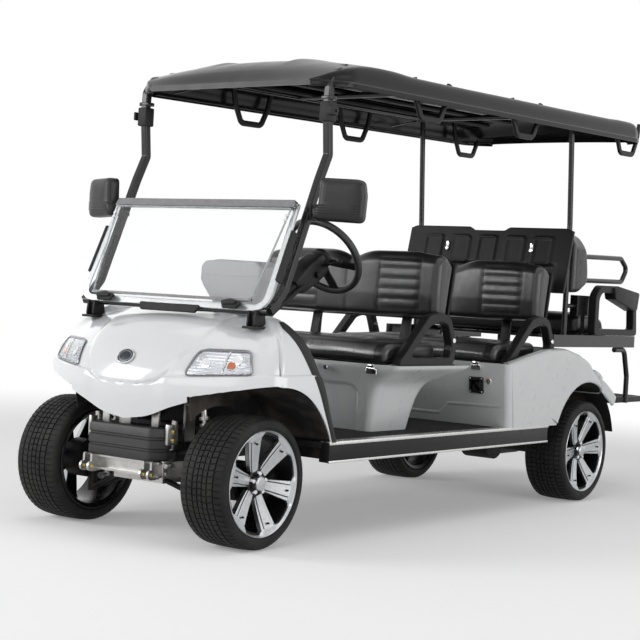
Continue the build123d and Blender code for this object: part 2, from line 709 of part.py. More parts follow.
handle_y = [front_axle_y + 1080, front_axle_y + 1920, front_axle_y + 3034]
handle_span = 285
handle_drop = 62
handle_rise = 130        # into the roof, then trimmed to its underside
handle_radius = 11
with BuildPart() as grab_handles:
    for side in (-1, 1):
        for y in handle_y:
            ends = [y - handle_span / 2, y - handle_span / 2 + 75, y + handle_span / 2 - 75,
                    y + handle_span / 2]
            x = side * (roof_half_width - 50)
            heights = [under_roof(v, d) for v, d in zip(ends, (-handle_rise, handle_drop, handle_drop, -handle_rise))]
            tube([(x, v, z) for v, z in zip(ends, heights)], handle_radius, 18)
    add(roof_space.part, mode=Mode.INTERSECT)
save(grab_handles, "grab_handles")

# windshield: lower pane, and the upper pane folded down in front of it
pane_thickness = 5
pane_low = (front_axle_y + 36, 945)
pane_high = (front_axle_y + 212, 1333)
fold_gap = 16
pane_half_low = 420
pane_half_high = 472


def pane_form(ahead, low_trim):
    """One sheet of the windshield, this far ahead of the lower pane's rear face."""
    run = Vector(0, pane_high[0] - pane_low[0], pane_high[1] - pane_low[1])
    normal = Vector(0, run.Z, -run.Y).normalized() * -1
    origin = Vector(0, *pane_low) + normal * ahead
    with BuildSketch(Plane(origin=origin, x_dir=(1, 0, 0), z_dir=normal)) as section:
        Polygon((-pane_half_low, low_trim), (pane_half_low, low_trim), (pane_half_high, run.length),
                (-pane_half_high, run.length), align=None)
    extrude(to_extrude=section.sketch, amount=pane_thickness)


with BuildPart() as windshield:
    pane_form(0, 0)
    pane_form(fold_gap, 12)
save(windshield, "windshield")

def pane_half(height):
    """Half width of the windshield at a distance up its sheet."""
    length = Vector(0, pane_high[0] - pane_low[0], pane_high[1] - pane_low[1]).length
    return pane_half_low + (pane_half_high - pane_half_low) * height / length


clip_heights = (90, 230, 370)
with BuildPart() as windshield_trim:
    block((-pane_half_low - 20, pane_half_low + 20), (pane_low[0] - 24, pane_low[0] + 22),
          (bar_z + 16 + seat_gap, pane_low[1]))
    rise = Vector(0, pane_high[0] - pane_low[0], pane_high[1] - pane_low[1])
    normal = Vector(0, rise.Z, -rise.Y).normalized() * -1
    pane_plane = Plane(origin=(0, *pane_low), x_dir=(1, 0, 0), z_dir=normal)
    with BuildSketch(pane_plane.offset(-2)) as fold:
        with Locations((0, rise.length + 5)):
            Rectangle(2 * pane_half_high, 10)
    extrude(to_extrude=fold.sketch, amount=fold_gap + pane_thickness + 4)
    with BuildSketch(pane_plane) as clips:
        for height in clip_heights:
            for side in (-1, 1):
                with Locations((side * (pane_half(height) - 20 + strut_x) / 2, height)):
                    Rectangle(strut_x - pane_half(height) + 20, 26)
    extrude(to_extrude=clips.sketch, amount=-34)
    add(front_struts.part, mode=Mode.SUBTRACT)
save(windshield_trim, "windshield_trim")

mirror_centre = (632, front_axle_y + 263, 1348)
mirror_turn = 17.5
with BuildPart() as mirrors:
    for side in (-1, 1):
        spot = (side * mirror_centre[0], mirror_centre[1], mirror_centre[2])
        turned = (side * cos(radians(mirror_turn)), sin(radians(mirror_turn)), 0)
        with BuildSketch(Plane(origin=spot, x_dir=turned, z_dir=Vector(*turned).cross(Vector(0, 0, 1)))) as face:
            RectangleRounded(212, 172, 30)
        extrude(to_extrude=face.sketch, amount=32, both=True)
        strut_y = front_axle_y + 262
        straight((side * (strut_x + 8), strut_y, 1310), (side * 560, strut_y - 10, 1300), 12)
    add(front_struts.part, mode=Mode.SUBTRACT)
save(mirrors, "mirrors")

# ---- steering wheel and column ---------------------------------------------------------------
tilt = radians(wheel_tilt)
column_axis = Vector(0, cos(tilt), sin(tilt))
centre = Vector(*wheel_centre)
wheel_grip = 15
with BuildPart() as steering_wheel:
    with BuildSketch(Plane(origin=centre + Vector(wheel_radius, 0, 0), x_dir=(1, 0, 0),
                           z_dir=Vector(1, 0, 0).cross(column_axis))) as grip:
        Circle(wheel_grip)
    revolve(profiles=grip.sketch, axis=Axis(centre, column_axis))
    with BuildSketch(Plane(origin=centre - column_axis * 34, x_dir=(1, 0, 0), z_dir=column_axis)) as hub:
        Circle(48)
    extrude(to_extrude=hub.sketch, amount=40)
    for angle in (-20, 200, 90 + 180):
        with BuildSketch(Plane(origin=centre - column_axis * 12, x_dir=(1, 0, 0), z_dir=column_axis)) as spoke:
            with PolarLocations(0, 1, start_angle=angle):
                with Locations((100, 0)):
                    Rectangle(140, 24)
        extrude(to_extrude=spoke.sketch, amount=12)
save(steering_wheel, "steering_wheel")

column_length = (wheel_centre[1] - front_axle_y) / cos(tilt)      # before the dash trims it
with BuildPart() as steering_column:
    start = centre - column_axis * (34 + seat_gap)
    straight(tuple(start), tuple(centre - column_axis * column_length), 26)
    dash_cut = [(front_axle_y + y - dash_inset, z) for y, z in dash_line]
    side_profile(dash_cut + [(dash_cut[-1][0] - 600, 880), (dash_cut[-1][0] - 600, 400)], 100, 340,
                 mode=Mode.SUBTRACT)
save(steering_column, "steering_column")

# ---- rear-facing seat and footrest -------------------------------------------------------------
# y from the rear axle, and z
strut_front = rear_strut_y - rear_axle_y - tube_radius - seat_gap
strut_back = rear_strut_y - rear_axle_y + tube_radius + seat_gap
rear_shell_outline = [(-116, 1052), (-40, 1369), (strut_front, 1369), (strut_front, 1330), (-103, 1052)]
rear_pad_outline = [(strut_back, 1058), (82, 1055), (177, 1111), (148, 1339), (132, 1358),
                    (strut_back, 1364)]
rear_cushion_outline = [(190, 850), (182, 935), (215, 958), (440, 955), (512, 926), (536, 850)]
rear_cushion_half = 422
flip_pivot = (rear_axle_y + 548, 862)
rear_armrest_x = 482
rear_armrest_outline = [(190, 840), (190, 1052), (250, 1104), (420, 1104), (690, 1074), (684, 973),
                        (700, 840)]
rear_armrest_hole = [(224, 874), (224, 1040), (262, 1070), (418, 1070), (655, 1044), (650, 973),
                     (664, 874)]
seat_bar_y = (rear_axle_y + 235, rear_axle_y + 505)
seat_bar_z = seat_rail_z[1] - tube_radius
post_y = rail_rear_y - 25
stop_x = (430, 472)       # the padded stop beside the rear cushion
stop_y = (rear_axle_y + 84, rear_axle_y + 233)
stop_z = (940, 1045)
stop_bar_z = 988

with BuildPart() as rear_seat_frame:
    for side in (-1, 1):
        low, high = sorted((side * seat_rail_x[0], side * seat_rail_x[1]))
        block((low, high), (rear_axle_y - 215, rear_axle_y + 725), seat_rail_z)
        straight((side * rail_x, post_y, frame_top_z), (side * rail_x, post_y, seat_bar_z), tube_radius)
        straight((side * rail_x, post_y, seat_bar_z - 8), (side * rail_x, seat_bar_y[1], seat_bar_z - 8), 6)
        block(sorted((side * stop_x[0], side * stop_x[1])), stop_y, stop_z)
        block(sorted((side * seat_rail_x[0], side * stop_x[1])), (stop_y[0] + 60, stop_y[0] + 90),
              (seat_rail_z[1] - 1, stop_z[0] + 1))
        straight((side * rear_strut_x, rear_strut_y + tube_radius + seat_gap, stop_bar_z),
                 (side * rear_strut_x, stop_y[0] + 1, stop_bar_z), 11)
    for y in seat_bar_y:
        cross_bar(seat_rail_x[0], y, seat_bar_z, tube_radius)
    cross_bar(seat_rail_x[0], post_y, seat_bar_z - 2, tube_radius)
save(rear_seat_frame, "rear_seat_frame")

with BuildPart() as rear_shell:
    side_profile([(rear_axle_y + y, z) for y, z in rear_shell_outline], -490, 490)
save(rear_shell, "rear_shell")
with BuildPart() as backrest_rear:
    side_profile([(rear_axle_y + y, z) for y, z in rear_pad_outline], -490, 490)
save(backrest_rear, "backrest_rear")
with BuildPart() as cushion_rear:
    side_profile([(rear_axle_y + y, z) for y, z in rear_cushion_outline], -rear_cushion_half, rear_cushion_half)
save(cushion_rear, "cushion_rear")
with BuildPart() as seat_lid_rear:
    block((-rear_cushion_half, rear_cushion_half), (rear_axle_y + 190, rear_axle_y + 536),
          (seat_rail_z[1] + seat_gap, 850))
save(seat_lid_rear, "seat_lid_rear")
with BuildPart() as rear_armrests:
    for side in (-1, 1):
        low, high = sorted((side * rear_armrest_x, side * (rear_armrest_x + armrest_width)))
        side_profile([(rear_axle_y + y, z) for y, z in rear_armrest_outline], low, high)
        side_profile([(rear_axle_y + y, z) for y, z in rear_armrest_hole], low, high, mode=Mode.SUBTRACT)
save(rear_armrests, "rear_armrests")

loop_x = 455
with BuildPart() as grab_loops:
    for side in (-1, 1):
        tube([(side * loop_x, rear_axle_y + y, z)
              for y, z in ((161.5, 1248), (600, 1258), (680, 1205), (618, 1132), (177.3, 1124))], 13, 30)
save(grab_loops, "grab_loops")

foot_z = (474, 506)
foot_y = (rear_axle_y + 515, rear_axle_y + 923)
foot_tube_x = (seat_rail_x[0] + seat_rail_x[1]) / 2
with BuildPart() as foot_frame:
    for side in (-1, 1):
        z = seat_rail_z[0] - tube_radius
        tube([(side * foot_tube_x, rear_axle_y + 520, z), (side * foot_tube_x, rear_axle_y + 642, z),
              (side * foot_tube_x, rear_axle_y + 692, 620), (side * foot_tube_x, rear_axle_y + 692, foot_z[0])],
             tube_radius, 40)
save(foot_frame, "foot_frame")
with BuildPart() as foot_plate:
    block((-foot_tube_x, foot_tube_x), foot_y, foot_z)
    add(foot_frame.part, mode=Mode.SUBTRACT)
save(foot_plate, "foot_plate")

# ---- charging socket --------------------------------------------------------------------------
socket_x = 440
socket_z = 593
socket_front_y = rear_axle_y - 828
socket_bore = 17
socket_depth = 12
with BuildPart() as charge_socket:
    straight((socket_x, socket_front_y, socket_z), (socket_x, socket_front_y + 40, socket_z), 32)
    straight((socket_x, socket_front_y, socket_z), (socket_x, socket_front_y + 16, socket_z), 26)
    front = [(rear_axle_y - 784, deck_z), (rear_axle_y - 822, 706)]
    side_profile(front + [(rear_axle_y - 700, 706), (rear_axle_y - 700, deck_z)], socket_x - 60, socket_x + 60,
                 mode=Mode.SUBTRACT)
    with BuildSketch(Plane.XZ.offset(-socket_front_y)) as bore:
        with Locations((socket_x, socket_z)):
            Circle(socket_bore)
    extrude(to_extrude=bore.sketch, amount=-socket_depth, mode=Mode.SUBTRACT)
save(charge_socket, "charge_socket")
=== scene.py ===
from math import cos, degrees, exp, hypot, pi, radians, sin, sqrt

import bmesh
import bpy
from mathutils import Matrix, Vector
from mathutils.bvhtree import BVHTree


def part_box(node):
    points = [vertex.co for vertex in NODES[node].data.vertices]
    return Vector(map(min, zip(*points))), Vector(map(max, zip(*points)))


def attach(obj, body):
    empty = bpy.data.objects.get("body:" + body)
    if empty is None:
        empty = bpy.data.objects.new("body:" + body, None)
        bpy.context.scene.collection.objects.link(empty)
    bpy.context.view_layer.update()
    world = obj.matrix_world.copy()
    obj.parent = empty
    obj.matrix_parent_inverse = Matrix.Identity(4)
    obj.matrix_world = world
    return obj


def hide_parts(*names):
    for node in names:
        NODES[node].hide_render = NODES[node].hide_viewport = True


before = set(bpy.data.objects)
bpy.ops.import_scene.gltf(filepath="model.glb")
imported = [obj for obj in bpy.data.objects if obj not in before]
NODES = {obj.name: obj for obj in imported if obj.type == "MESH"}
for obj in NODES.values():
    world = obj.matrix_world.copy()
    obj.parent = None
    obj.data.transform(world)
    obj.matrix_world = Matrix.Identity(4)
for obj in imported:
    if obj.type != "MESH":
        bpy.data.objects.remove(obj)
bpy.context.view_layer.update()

bl_info = {
    "name": "Six-seat electric cart",
    "version": (1, 0, 0),
    "blender": (4, 5, 0),
    "location": "3D View > Sidebar > Cart",
    "description": "Dresses the cart's frame with its shell, seats, wheels, roof and fittings",
    "category": "Object",
}


def place(node):
    """Lowest and highest corner of a frame node."""
    low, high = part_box(node)
    return Vector(low), Vector(high)


def middle(node):
    low, high = place(node)
    return (low + high) / 2


FRONT = middle("tyre_front_left").y          # the axles, along Y
REAR = middle("tyre_rear_left").y
AXLE = middle("tyre_front_left").z
DECK = place("floor")[1].z
BODY_HALF = place("cowl")[1].x
ROW_FRONT = place("cushion_front")[0].y + 0.002
ROW_PITCH = place("cushion_mid")[0].y - place("cushion_front")[0].y


# ---- small geometry ------------------------------------------------------------------------
def ease(value, low, high):
    """0 below low, 1 above high, and smooth between."""
    t = min(1.0, max(0.0, (value - low) / (high - low)))
    return t * t * (3 - 2 * t)


def along(table, at):
    """Smooth value, or values, of a table of (place, value, ...) rows at a place."""
    if at <= table[0][0]:
        return table[0][1:]
    for i in range(len(table) - 1):
        a, b = table[i], table[i + 1]
        if at <= b[0]:
            before = table[max(i - 1, 0)]
            after = table[min(i + 2, len(table) - 1)]
            t = (at - a[0]) / (b[0] - a[0])
            out = []
            for k in range(1, len(a)):
                span = b[0] - a[0]
                m0 = (b[k] - before[k]) / (b[0] - before[0]) * span
                m1 = (after[k] - a[k]) / (after[0] - a[0]) * span
                out.append((2 * t**3 - 3 * t**2 + 1) * a[k] + (t**3 - 2 * t**2 + t) * m0
                    + (3 * t**2 - 2 * t**3) * b[k] + (t**3 - t**2) * m1)
            return out
    return table[-1][1:]


def rounded(points, radius, steps=5, closed=True):
    """A 2D outline with its corners filleted; radius is one number or one for each corner."""
    out = []
    count = len(points)
    for i, point in enumerate(points):
        r = radius[i] if isinstance(radius, (list, tuple)) else radius
        p = Vector(point)
        if not closed and i in (0, count - 1) or r <= 0:
            out.append(tuple(p))
            continue
        a, b = Vector(points[i - 1]) - p, Vector(points[(i + 1) % count]) - p
        turn = a.angle(b)
        if turn > pi - 0.02:
            out.append(tuple(p))
            continue
        reach = min(r / max(sin(turn / 2) / cos(turn / 2), 1e-6), 0.48 * a.length, 0.48 * b.length)
        start, end = p + a.normalized() * reach, p + b.normalized() * reach
        for k in range(steps + 1):
            t = k / steps
            out.append(tuple(start * (1 - t) ** 2 + p * 2 * t * (1 - t) + end * t * t))
    return out


def inset(points, amount):
    """A closed 2D outline moved inwards by an amount."""
    area = sum(points[i - 1][0] * p[1] - p[0] * points[i - 1][1] for i, p in enumerate(points))
    sign = 1 if area > 0 else -1
    out = []
    for i, p in enumerate(points):
        a, b = points[i - 1], points[(i + 1) % len(points)]
        d1, d2 = Vector((p[0] - a[0], p[1] - a[1])), Vector((b[0] - p[0], b[1] - p[1]))
        if d1.length < 1e-9 or d2.length < 1e-9:
            out.append(tuple(p))
            continue
        d1.normalize()
        d2.normalize()
        n = Vector((-d1.y - d2.y, d1.x + d2.x))
        n = n.normalized() / max(0.4, sqrt((1 + d1.dot(d2)) / 2))
        out.append((p[0] + n.x * sign * amount, p[1] + n.y * sign * amount))
    return out


def centre_of(outline):
    """Mean of an outline's points."""
    return sum(p[0] for p in outline) / len(outline), sum(p[1] for p in outline) / len(outline)


def shifted(points, by):
    """A 2D outline moved along its first axis."""
    return [(by + a, b) for a, b in points]


def resample(points, step, closed=True):
    """Points at nearly even steps along a polyline."""
    pts = [Vector(p) for p in points] + ([Vector(points[0])] if closed else [])
    run = [0.0]
    for a, b in zip(pts, pts[1:]):
        run.append(run[-1] + (b - a).length)
    count = max(3, round(run[-1] / step))
    out, k = [], 0
    for i in range(count if closed else count + 1):
        want = run[-1] * i / count
        while k < len(run) - 2 and run[k + 1] < want:
            k += 1
        span = run[k + 1] - run[k]
        out.append(tuple(pts[k].lerp(pts[k + 1], (want - run[k]) / span if span else 0)))
    return out


# ---- meshes --------------------------------------------------------------------------------
def grid(rows, around=False, caps=False):
    """A mesh of quads between rows of points."""
    bm = bmesh.new()
    lines = [[bm.verts.new(p) for p in row] for row in rows]
    for a, b in zip(lines, lines[1:]):
        for i in range(len(a) - (0 if around else 1)):
            j = (i + 1) % len(a)
            bm.faces.new((a[i], a[j], b[j], b[i]))
    if caps:
        bm.faces.new(lines[0])
        bm.faces.new(list(reversed(lines[-1])))
    return bm


def join(*parts):
    """Several bmeshes in one."""
    whole = bmesh.new()
    for part in parts:
        mesh = bpy.data.meshes.new("part")
        part.to_mesh(mesh)
        part.free()
        whole.from_mesh(mesh)
        bpy.data.meshes.remove(mesh)
    return whole


def both_sides(make):
    """make(side) for the left and the right, joined."""
    return join(make(1), make(-1))


def side_span(side, near, far):
    """Lowest and highest x of a piece that reaches from near to far on one side."""
    return sorted((side * near, side * far))


def welded(bm, dist=1e-6):
    """The mesh with its coinciding points made one."""
    bmesh.ops.remove_doubles(bm, verts=bm.verts, dist=dist)
    return bm


def moved(bm, matrix):
    """The mesh after a transform."""
    bmesh.ops.transform(bm, matrix=matrix, verts=bm.verts)
    return bm


def block(low, high, edge=0.0, steps=2):
    """A box between two corners, with its edges rounded."""
    low, high = Vector(low), Vector(high)
    bm = bmesh.new()
    bmesh.ops.create_cube(bm, size=1)
    size = high - low
    bmesh.ops.scale(bm, vec=(abs(size.x), abs(size.y), abs(size.z)), verts=bm.verts)
    bmesh.ops.translate(bm, vec=(low + high) / 2, verts=bm.verts)
    if edge:
        bmesh.ops.bevel(bm, geom=bm.edges[:], offset=edge, segments=steps, affect="EDGES", profile=0.5)
    return bm


def slab(outline, low, high, edge=0.0, steps=3, axes="yzx"):
    """A 2D outline pushed along the third axis from low to high, with rounded rims."""
    turns = [(pi / 2) * k / steps for k in range(steps + 1)] if edge else [pi / 2]
    levels = [(low + edge * (1 - cos(a)), edge * (1 - sin(a))) for a in turns]
    ends = levels + [(low + high - at, d) for at, d in reversed(levels)]
    order = {"x": 0, "y": 1, "z": 2}
    rows = []
    for at, d in ends:
        row = []
        for u, v in (inset(outline, d) if d else outline):
            p = [0, 0, 0]
            p[order[axes[0]]], p[order[axes[1]]], p[order[axes[2]]] = u, v, at
            row.append(tuple(p))
        rows.append(row)
    return grid(rows, around=True, caps=True)


def lathe(profile, centre, side=1, steps=64, start=0.0, turn=2 * pi):
    """A profile of (distance outwards, radius) turned about an axle that runs along X."""
    full = turn > 2 * pi - 1e-6
    rows = []
    for k in range(steps if full else steps + 1):
        a = start + turn * k / steps
        rows.append([(centre[0] + side * u, centre[1] + r * cos(a), centre[2] + r * sin(a))
            for u, r in profile])
    if full:
        rows.append(rows[0])
    return welded(grid(rows))


def rod(start, end, radius, steps=20, edge=0.0):
    """A round bar between two points."""
    start, end = Vector(start), Vector(end)
    run = end - start
    turn = run.to_track_quat("Z", "Y").to_matrix()
    rows = []
    levels = [(0, radius - edge), (edge, radius), (run.length - edge, radius), (run.length, radius - edge)]
    for at, r in (levels if edge else [(0, radius), (run.length, radius)]):
        rows.append([start + turn @ Vector((r * cos(2 * pi * k / steps), r * sin(2 * pi * k / steps), at))
            for k in range(steps)])
    return grid(rows, around=True, caps=True)


def rod_x(x0, x1, y, z, radius, steps=20, edge=0.0):
    """A round bar along X."""
    return rod((x0, y, z), (x1, y, z), radius, steps, edge)


def follow(path, section, up=(0, 0, 1), closed=False):
    """A closed 2D section carried along a path without twisting away from an up direction."""
    pts = [Vector(p) for p in path]
    rows = []
    for i, p in enumerate(pts):
        a = pts[i - 1] if i or closed else p
        b = pts[(i + 1) % len(pts)] if i < len(pts) - 1 or closed else p
        ahead = (b - a).normalized()
        across = ahead.cross(Vector(up)).normalized()
        rise = across.cross(ahead).normalized()
        rows.append([tuple(p + across * u + rise * v) for u, v in section])
    if closed:
        rows.append(rows[0])
    bm = grid(rows, around=True, caps=not closed)
    return welded(bm) if closed else bm


def surface_of(bm):
    """A search tree over a mesh, for laying things on it."""
    bm.normal_update()
    return BVHTree.FromBMesh(bm)


def tree_over(obj):
    """A search tree over an object's mesh."""
    return BVHTree.FromPolygons([v.co for v in obj.data.vertices], [p.vertices for p in obj.data.polygons])


# ---- finishes ------------------------------------------------------------------------------
FINISHES = {}     # name: (material, slot)


def finish(name, slot, colour, rough, metal=0.0, mottle=(6.0, 0.04), grain=(900.0, 0.0001), rough_span=0.06,
        coat=0.0, clear=0.0, ior=None, dust=None, cells=False, shine=0.5):
    """A node-based finish on Object coordinates: mottled colour, uneven gloss and a fine grain."""
    mat = bpy.data.materials.new(name)
    mat.use_nodes = True
    nodes, links = mat.node_tree.nodes, mat.node_tree.links
    bsdf = nodes["Principled BSDF"]
    where = nodes.new("ShaderNodeTexCoord")

    def noise(scale, detail=3.0):
        tex = nodes.new("ShaderNodeTexNoise")
        tex.inputs["Scale"].default_value = scale
        tex.inputs["Detail"].default_value = detail
        links.new(where.outputs["Object"], tex.inputs["Vector"])
        return tex.outputs["Fac"]

    ramp = nodes.new("ShaderNodeValToRGB")
    ramp.color_ramp.elements[0].position, ramp.color_ramp.elements[1].position = 0.3, 0.7
    ramp.color_ramp.elements[0].color = [c * (1 - mottle[1]) for c in colour] + [1]
    ramp.color_ramp.elements[1].color = [min(1, c * (1 + mottle[1])) for c in colour] + [1]
    links.new(noise(mottle[0]), ramp.inputs["Fac"])
    tint = ramp.outputs["Color"]
    if dust:
        # dust that lies in patches: (colour, scale, lowest and highest noise value)
        mask = nodes.new("ShaderNodeMapRange")
        mask.inputs["From Min"].default_value, mask.inputs["From Max"].default_value = dust[2], dust[3]
        links.new(noise(dust[1], 8.0), mask.inputs["Value"])
        mix = nodes.new("ShaderNodeMix")
        mix.data_type = "RGBA"
        mix.inputs["B"].default_value = (*dust[0], 1)
        links.new(mask.outputs["Result"], mix.inputs["Factor"])
        links.new(tint, mix.inputs["A"])
        tint = mix.outputs["Result"]
    links.new(tint, bsdf.inputs["Base Color"])
    gloss = nodes.new("ShaderNodeMapRange")
    gloss.inputs["From Min"].default_value, gloss.inputs["From Max"].default_value = 0.35, 0.65
    gloss.inputs["To Min"].default_value = max(0.0, rough - rough_span / 2)
    gloss.inputs["To Max"].default_value = rough + rough_span / 2
    links.new(noise(mottle[0] * 3), gloss.inputs["Value"])
    links.new(gloss.outputs["Result"], bsdf.inputs["Roughness"])
    bump = nodes.new("ShaderNodeBump")
    bump.inputs["Strength"].default_value = 1.0
    bump.inputs["Distance"].default_value = grain[1]
    if cells:
        tex = nodes.new("ShaderNodeTexVoronoi")
        tex.feature = "SMOOTH_F1"
        tex.inputs["Scale"].default_value = grain[0]
        links.new(where.outputs["Object"], tex.inputs["Vector"])
        links.new(tex.outputs["Distance"], bump.inputs["Height"])
    else:
        links.new(noise(grain[0], 2.0), bump.inputs["Height"])
    links.new(bump.outputs["Normal"], bsdf.inputs["Normal"])
    bsdf.inputs["Metallic"].default_value = metal
    bsdf.inputs["Coat Weight"].default_value = coat
    bsdf.inputs["Coat Roughness"].default_value = 0.06
    bsdf.inputs["Transmission Weight"].default_value = clear
    bsdf.inputs["Specular IOR Level"].default_value = shine
    if ior:
        bsdf.inputs["IOR"].default_value = ior
    FINISHES[name] = (mat, slot)
    return mat


def ribbed(mat, axis, pitch, depth):
    """Adds even grooves across an axis to a finish."""
    nodes, links = mat.node_tree.nodes, mat.node_tree.links
    where = next(n for n in nodes if n.bl_idname == "ShaderNodeTexCoord")
    old = next(n for n in nodes if n.bl_idname == "ShaderNodeBump")
    wave = nodes.new("ShaderNodeTexWave")
    wave.bands_direction = axis
    wave.inputs["Scale"].default_value = 0.314 / pitch
    wave.inputs["Distortion"].default_value = 0.0
    bump = nodes.new("ShaderNodeBump")
    bump.inputs["Distance"].default_value = depth
    links.new(where.outputs["Object"], wave.inputs["Vector"])
    links.new(wave.outputs["Fac"], bump.inputs["Height"])
    links.new(old.outputs["Normal"], bump.inputs["Normal"])
    links.new(bump.outputs["Normal"], nodes["Principled BSDF"].inputs["Normal"])
    return mat


def make_finishes(shell, cabin, leather):
    finish("white_paint", "white_shell", shell, 0.16, coat=0.6, mottle=(3, 0.012), grain=(220, 0.00004),
        rough_span=0.03)
    finish("grey_paint", "grey_shell", cabin, 0.3, coat=0.25, mottle=(5, 0.03), grain=(500, 0.00008))
    finish("roof_gloss", "black_roof", (0.006, 0.006, 0.0065), 0.24, mottle=(4, 0.1), grain=(350, 0.00006),
        shine=0.22)
    finish("roof_under", "black_roof", (0.006, 0.006, 0.007), 0.6, mottle=(4, 0.1), grain=(800, 0.0002),
        shine=0.1)
    finish("textured_black", "black_plastic", (0.014, 0.014, 0.015), 0.5, mottle=(9, 0.12),
        grain=(700, 0.0006), shine=0.25)
    finish("satin_black", "black_plastic", (0.01, 0.01, 0.011), 0.42, mottle=(9, 0.12), grain=(900, 0.0002),
        shine=0.22)
    finish("arch_liner", "black_plastic", (0.016, 0.015, 0.015), 0.8, mottle=(9, 0.2), grain=(400, 0.0008),
        dust=((0.12, 0.105, 0.09), 4.5, 0.48, 0.74), shine=0.15)
    finish("coated_steel", "black_steel", (0.009, 0.009, 0.01), 0.26, coat=0.2, mottle=(8, 0.1),
        grain=(500, 0.00006), shine=0.3)
    finish("chassis_steel", "black_steel", (0.014, 0.013, 0.013), 0.55, mottle=(14, 0.2), grain=(600, 0.0003),
        dust=((0.1, 0.09, 0.08), 6, 0.55, 0.8), shine=0.2)
    finish("zinc_steel", "silver_steel", (0.46, 0.455, 0.44), 0.34, metal=1.0, mottle=(30, 0.12),
        grain=(500, 0.0002))
    finish("chrome", "silver_steel", (0.8, 0.8, 0.8), 0.1, metal=1.0, mottle=(20, 0.05), grain=(600, 0.00004))
    finish("aluminium", "silver_steel", (0.66, 0.66, 0.65), 0.28, metal=1.0, mottle=(25, 0.06),
        grain=(500, 0.0001))
    finish("mirror_glass", "silver_steel", (0.75, 0.76, 0.77), 0.03, metal=1.0, mottle=(3, 0.01),
        grain=(300, 0.00001))
    finish("vinyl", "leather", leather, 0.32, mottle=(12, 0.12), grain=(520, 0.00015), cells=True, shine=0.6)
    # a copy of the vinyl four times lighter, for the cushion fronts: painted sheen of the front light
    finish("vinyl_painted_sheen", "leather", [c * 4 for c in leather], 0.3, coat=0.3, mottle=(12, 0.1),
        grain=(520, 0.00015), cells=True, shine=1.0)
    finish("seam_thread", "leather", (0.006, 0.006, 0.006), 0.7, mottle=(300, 0.3), grain=(900, 0.0005))
    finish("sheet_clear", "clear", (0.995, 1.0, 1.0), 0.01, clear=1.0, ior=1.22, mottle=(2, 0.002),
        grain=(6, 0.00001), rough_span=0.004)
    finish("sheet_edge", "clear", (0.62, 0.67, 0.68), 0.2, clear=0.5, ior=1.49, mottle=(40, 0.1),
        grain=(300, 0.0002))
    finish("lens", "lamp", (0.97, 0.98, 0.99), 0.03, clear=1.0, ior=1.2, mottle=(2, 0.01), grain=(30, 0.00004),
        rough_span=0.01)
    finish("reflector", "lamp", (0.52, 0.53, 0.55), 0.24, metal=1.0, mottle=(20, 0.05), grain=(300, 0.0001))
    finish("amber_lens", "lamp", (0.55, 0.12, 0.03), 0.12, mottle=(60, 0.15), grain=(400, 0.0004), coat=0.4)
    finish("badge_dark", "badge", (0.02, 0.03, 0.04), 0.25, mottle=(40, 0.1), grain=(300, 0.00005), shine=0.3)
    finish("badge_rim", "badge", (0.6, 0.6, 0.61), 0.18, metal=1.0, mottle=(40, 0.05), grain=(300, 0.00005))
    finish("tyre_rubber", "tyre", (0.012, 0.012, 0.012), 0.6, mottle=(18, 0.18), grain=(450, 0.0005),
        dust=((0.035, 0.034, 0.032), 8, 0.45, 0.8), shine=0.2)
    finish("machined", "rim", (0.5, 0.51, 0.52), 0.3, metal=1.0, mottle=(40, 0.06), grain=(900, 0.0001))
    finish("rim_black", "rim", (0.006, 0.006, 0.007), 0.25, mottle=(14, 0.15), grain=(500, 0.0001), shine=0.25)
    finish("floor_mat", "mat", (0.018, 0.018, 0.019), 0.6, mottle=(25, 0.2), grain=(350, 0.001),
        dust=((0.05, 0.047, 0.044), 9, 0.55, 0.85), shine=0.2)
    finish("smoked_edge", "clear", (0.25, 0.25, 0.26), 0.2, metal=0.7, mottle=(40, 0.1), grain=(300, 0.0002))
    finish("yellow_zinc", "silver_steel", (0.72, 0.55, 0.22), 0.3, metal=1.0, mottle=(60, 0.15),
        grain=(500, 0.0001))
    finish("mirror_black", "black_plastic", (0.012, 0.012, 0.0125), 0.36, mottle=(9, 0.1), grain=(900, 0.0003),
        shine=0.35)
    finish("bumper_black", "black_plastic", (0.018, 0.018, 0.0185), 0.42, mottle=(9, 0.12), grain=(600, 0.0008))
    finish("display_grey", "grey_shell", (0.5, 0.51, 0.52), 0.35, mottle=(5, 0.03), grain=(500, 0.00008))
    finish("vinyl_grip", "black_plastic", (0.016, 0.016, 0.016), 0.4, mottle=(20, 0.1), grain=(700, 0.0004),
        cells=True)
    finish("button_red", "black_plastic", (0.5, 0.02, 0.02), 0.3, mottle=(90, 0.1), grain=(500, 0.0001))
    finish("button_green", "black_plastic", (0.02, 0.2, 0.06), 0.3, mottle=(90, 0.1), grain=(500, 0.0001))
    ribbed(FINISHES["floor_mat"][0], "X", 0.012, 0.0015)


# finish: the frame nodes that have it
CAD_FINISH = {
    "white_paint": "cowl",
    "satin_black": "dash rockers battery seat_lid_front seat_lid_mid back_frame_front back_frame_mid "
                   "armrests grab_handles steering_column rear_shell seat_lid_rear rear_armrests "
                   "charge_socket",
    "arch_liner": "arch_liners",
    "grey_paint": "dash_pod seat_pod_front rear_body",
    "zinc_steel": "front_shocks front_subframe steering_rack",
    "textured_black": "bumper windshield_trim mirrors steering_wheel foot_plate",
    "lens": "headlights",
    "badge_dark": "badge",
    "chassis_steel": "chassis_frame control_arms rack_housing knuckle_left knuckle_right rear_axle motor "
                     "rear_springs",
    "floor_mat": "floor",
    "roof_gloss": "roof",
    "coated_steel": "front_struts rear_struts roof_frame rear_seat_frame grab_loops foot_frame",
    "sheet_clear": "windshield",
}


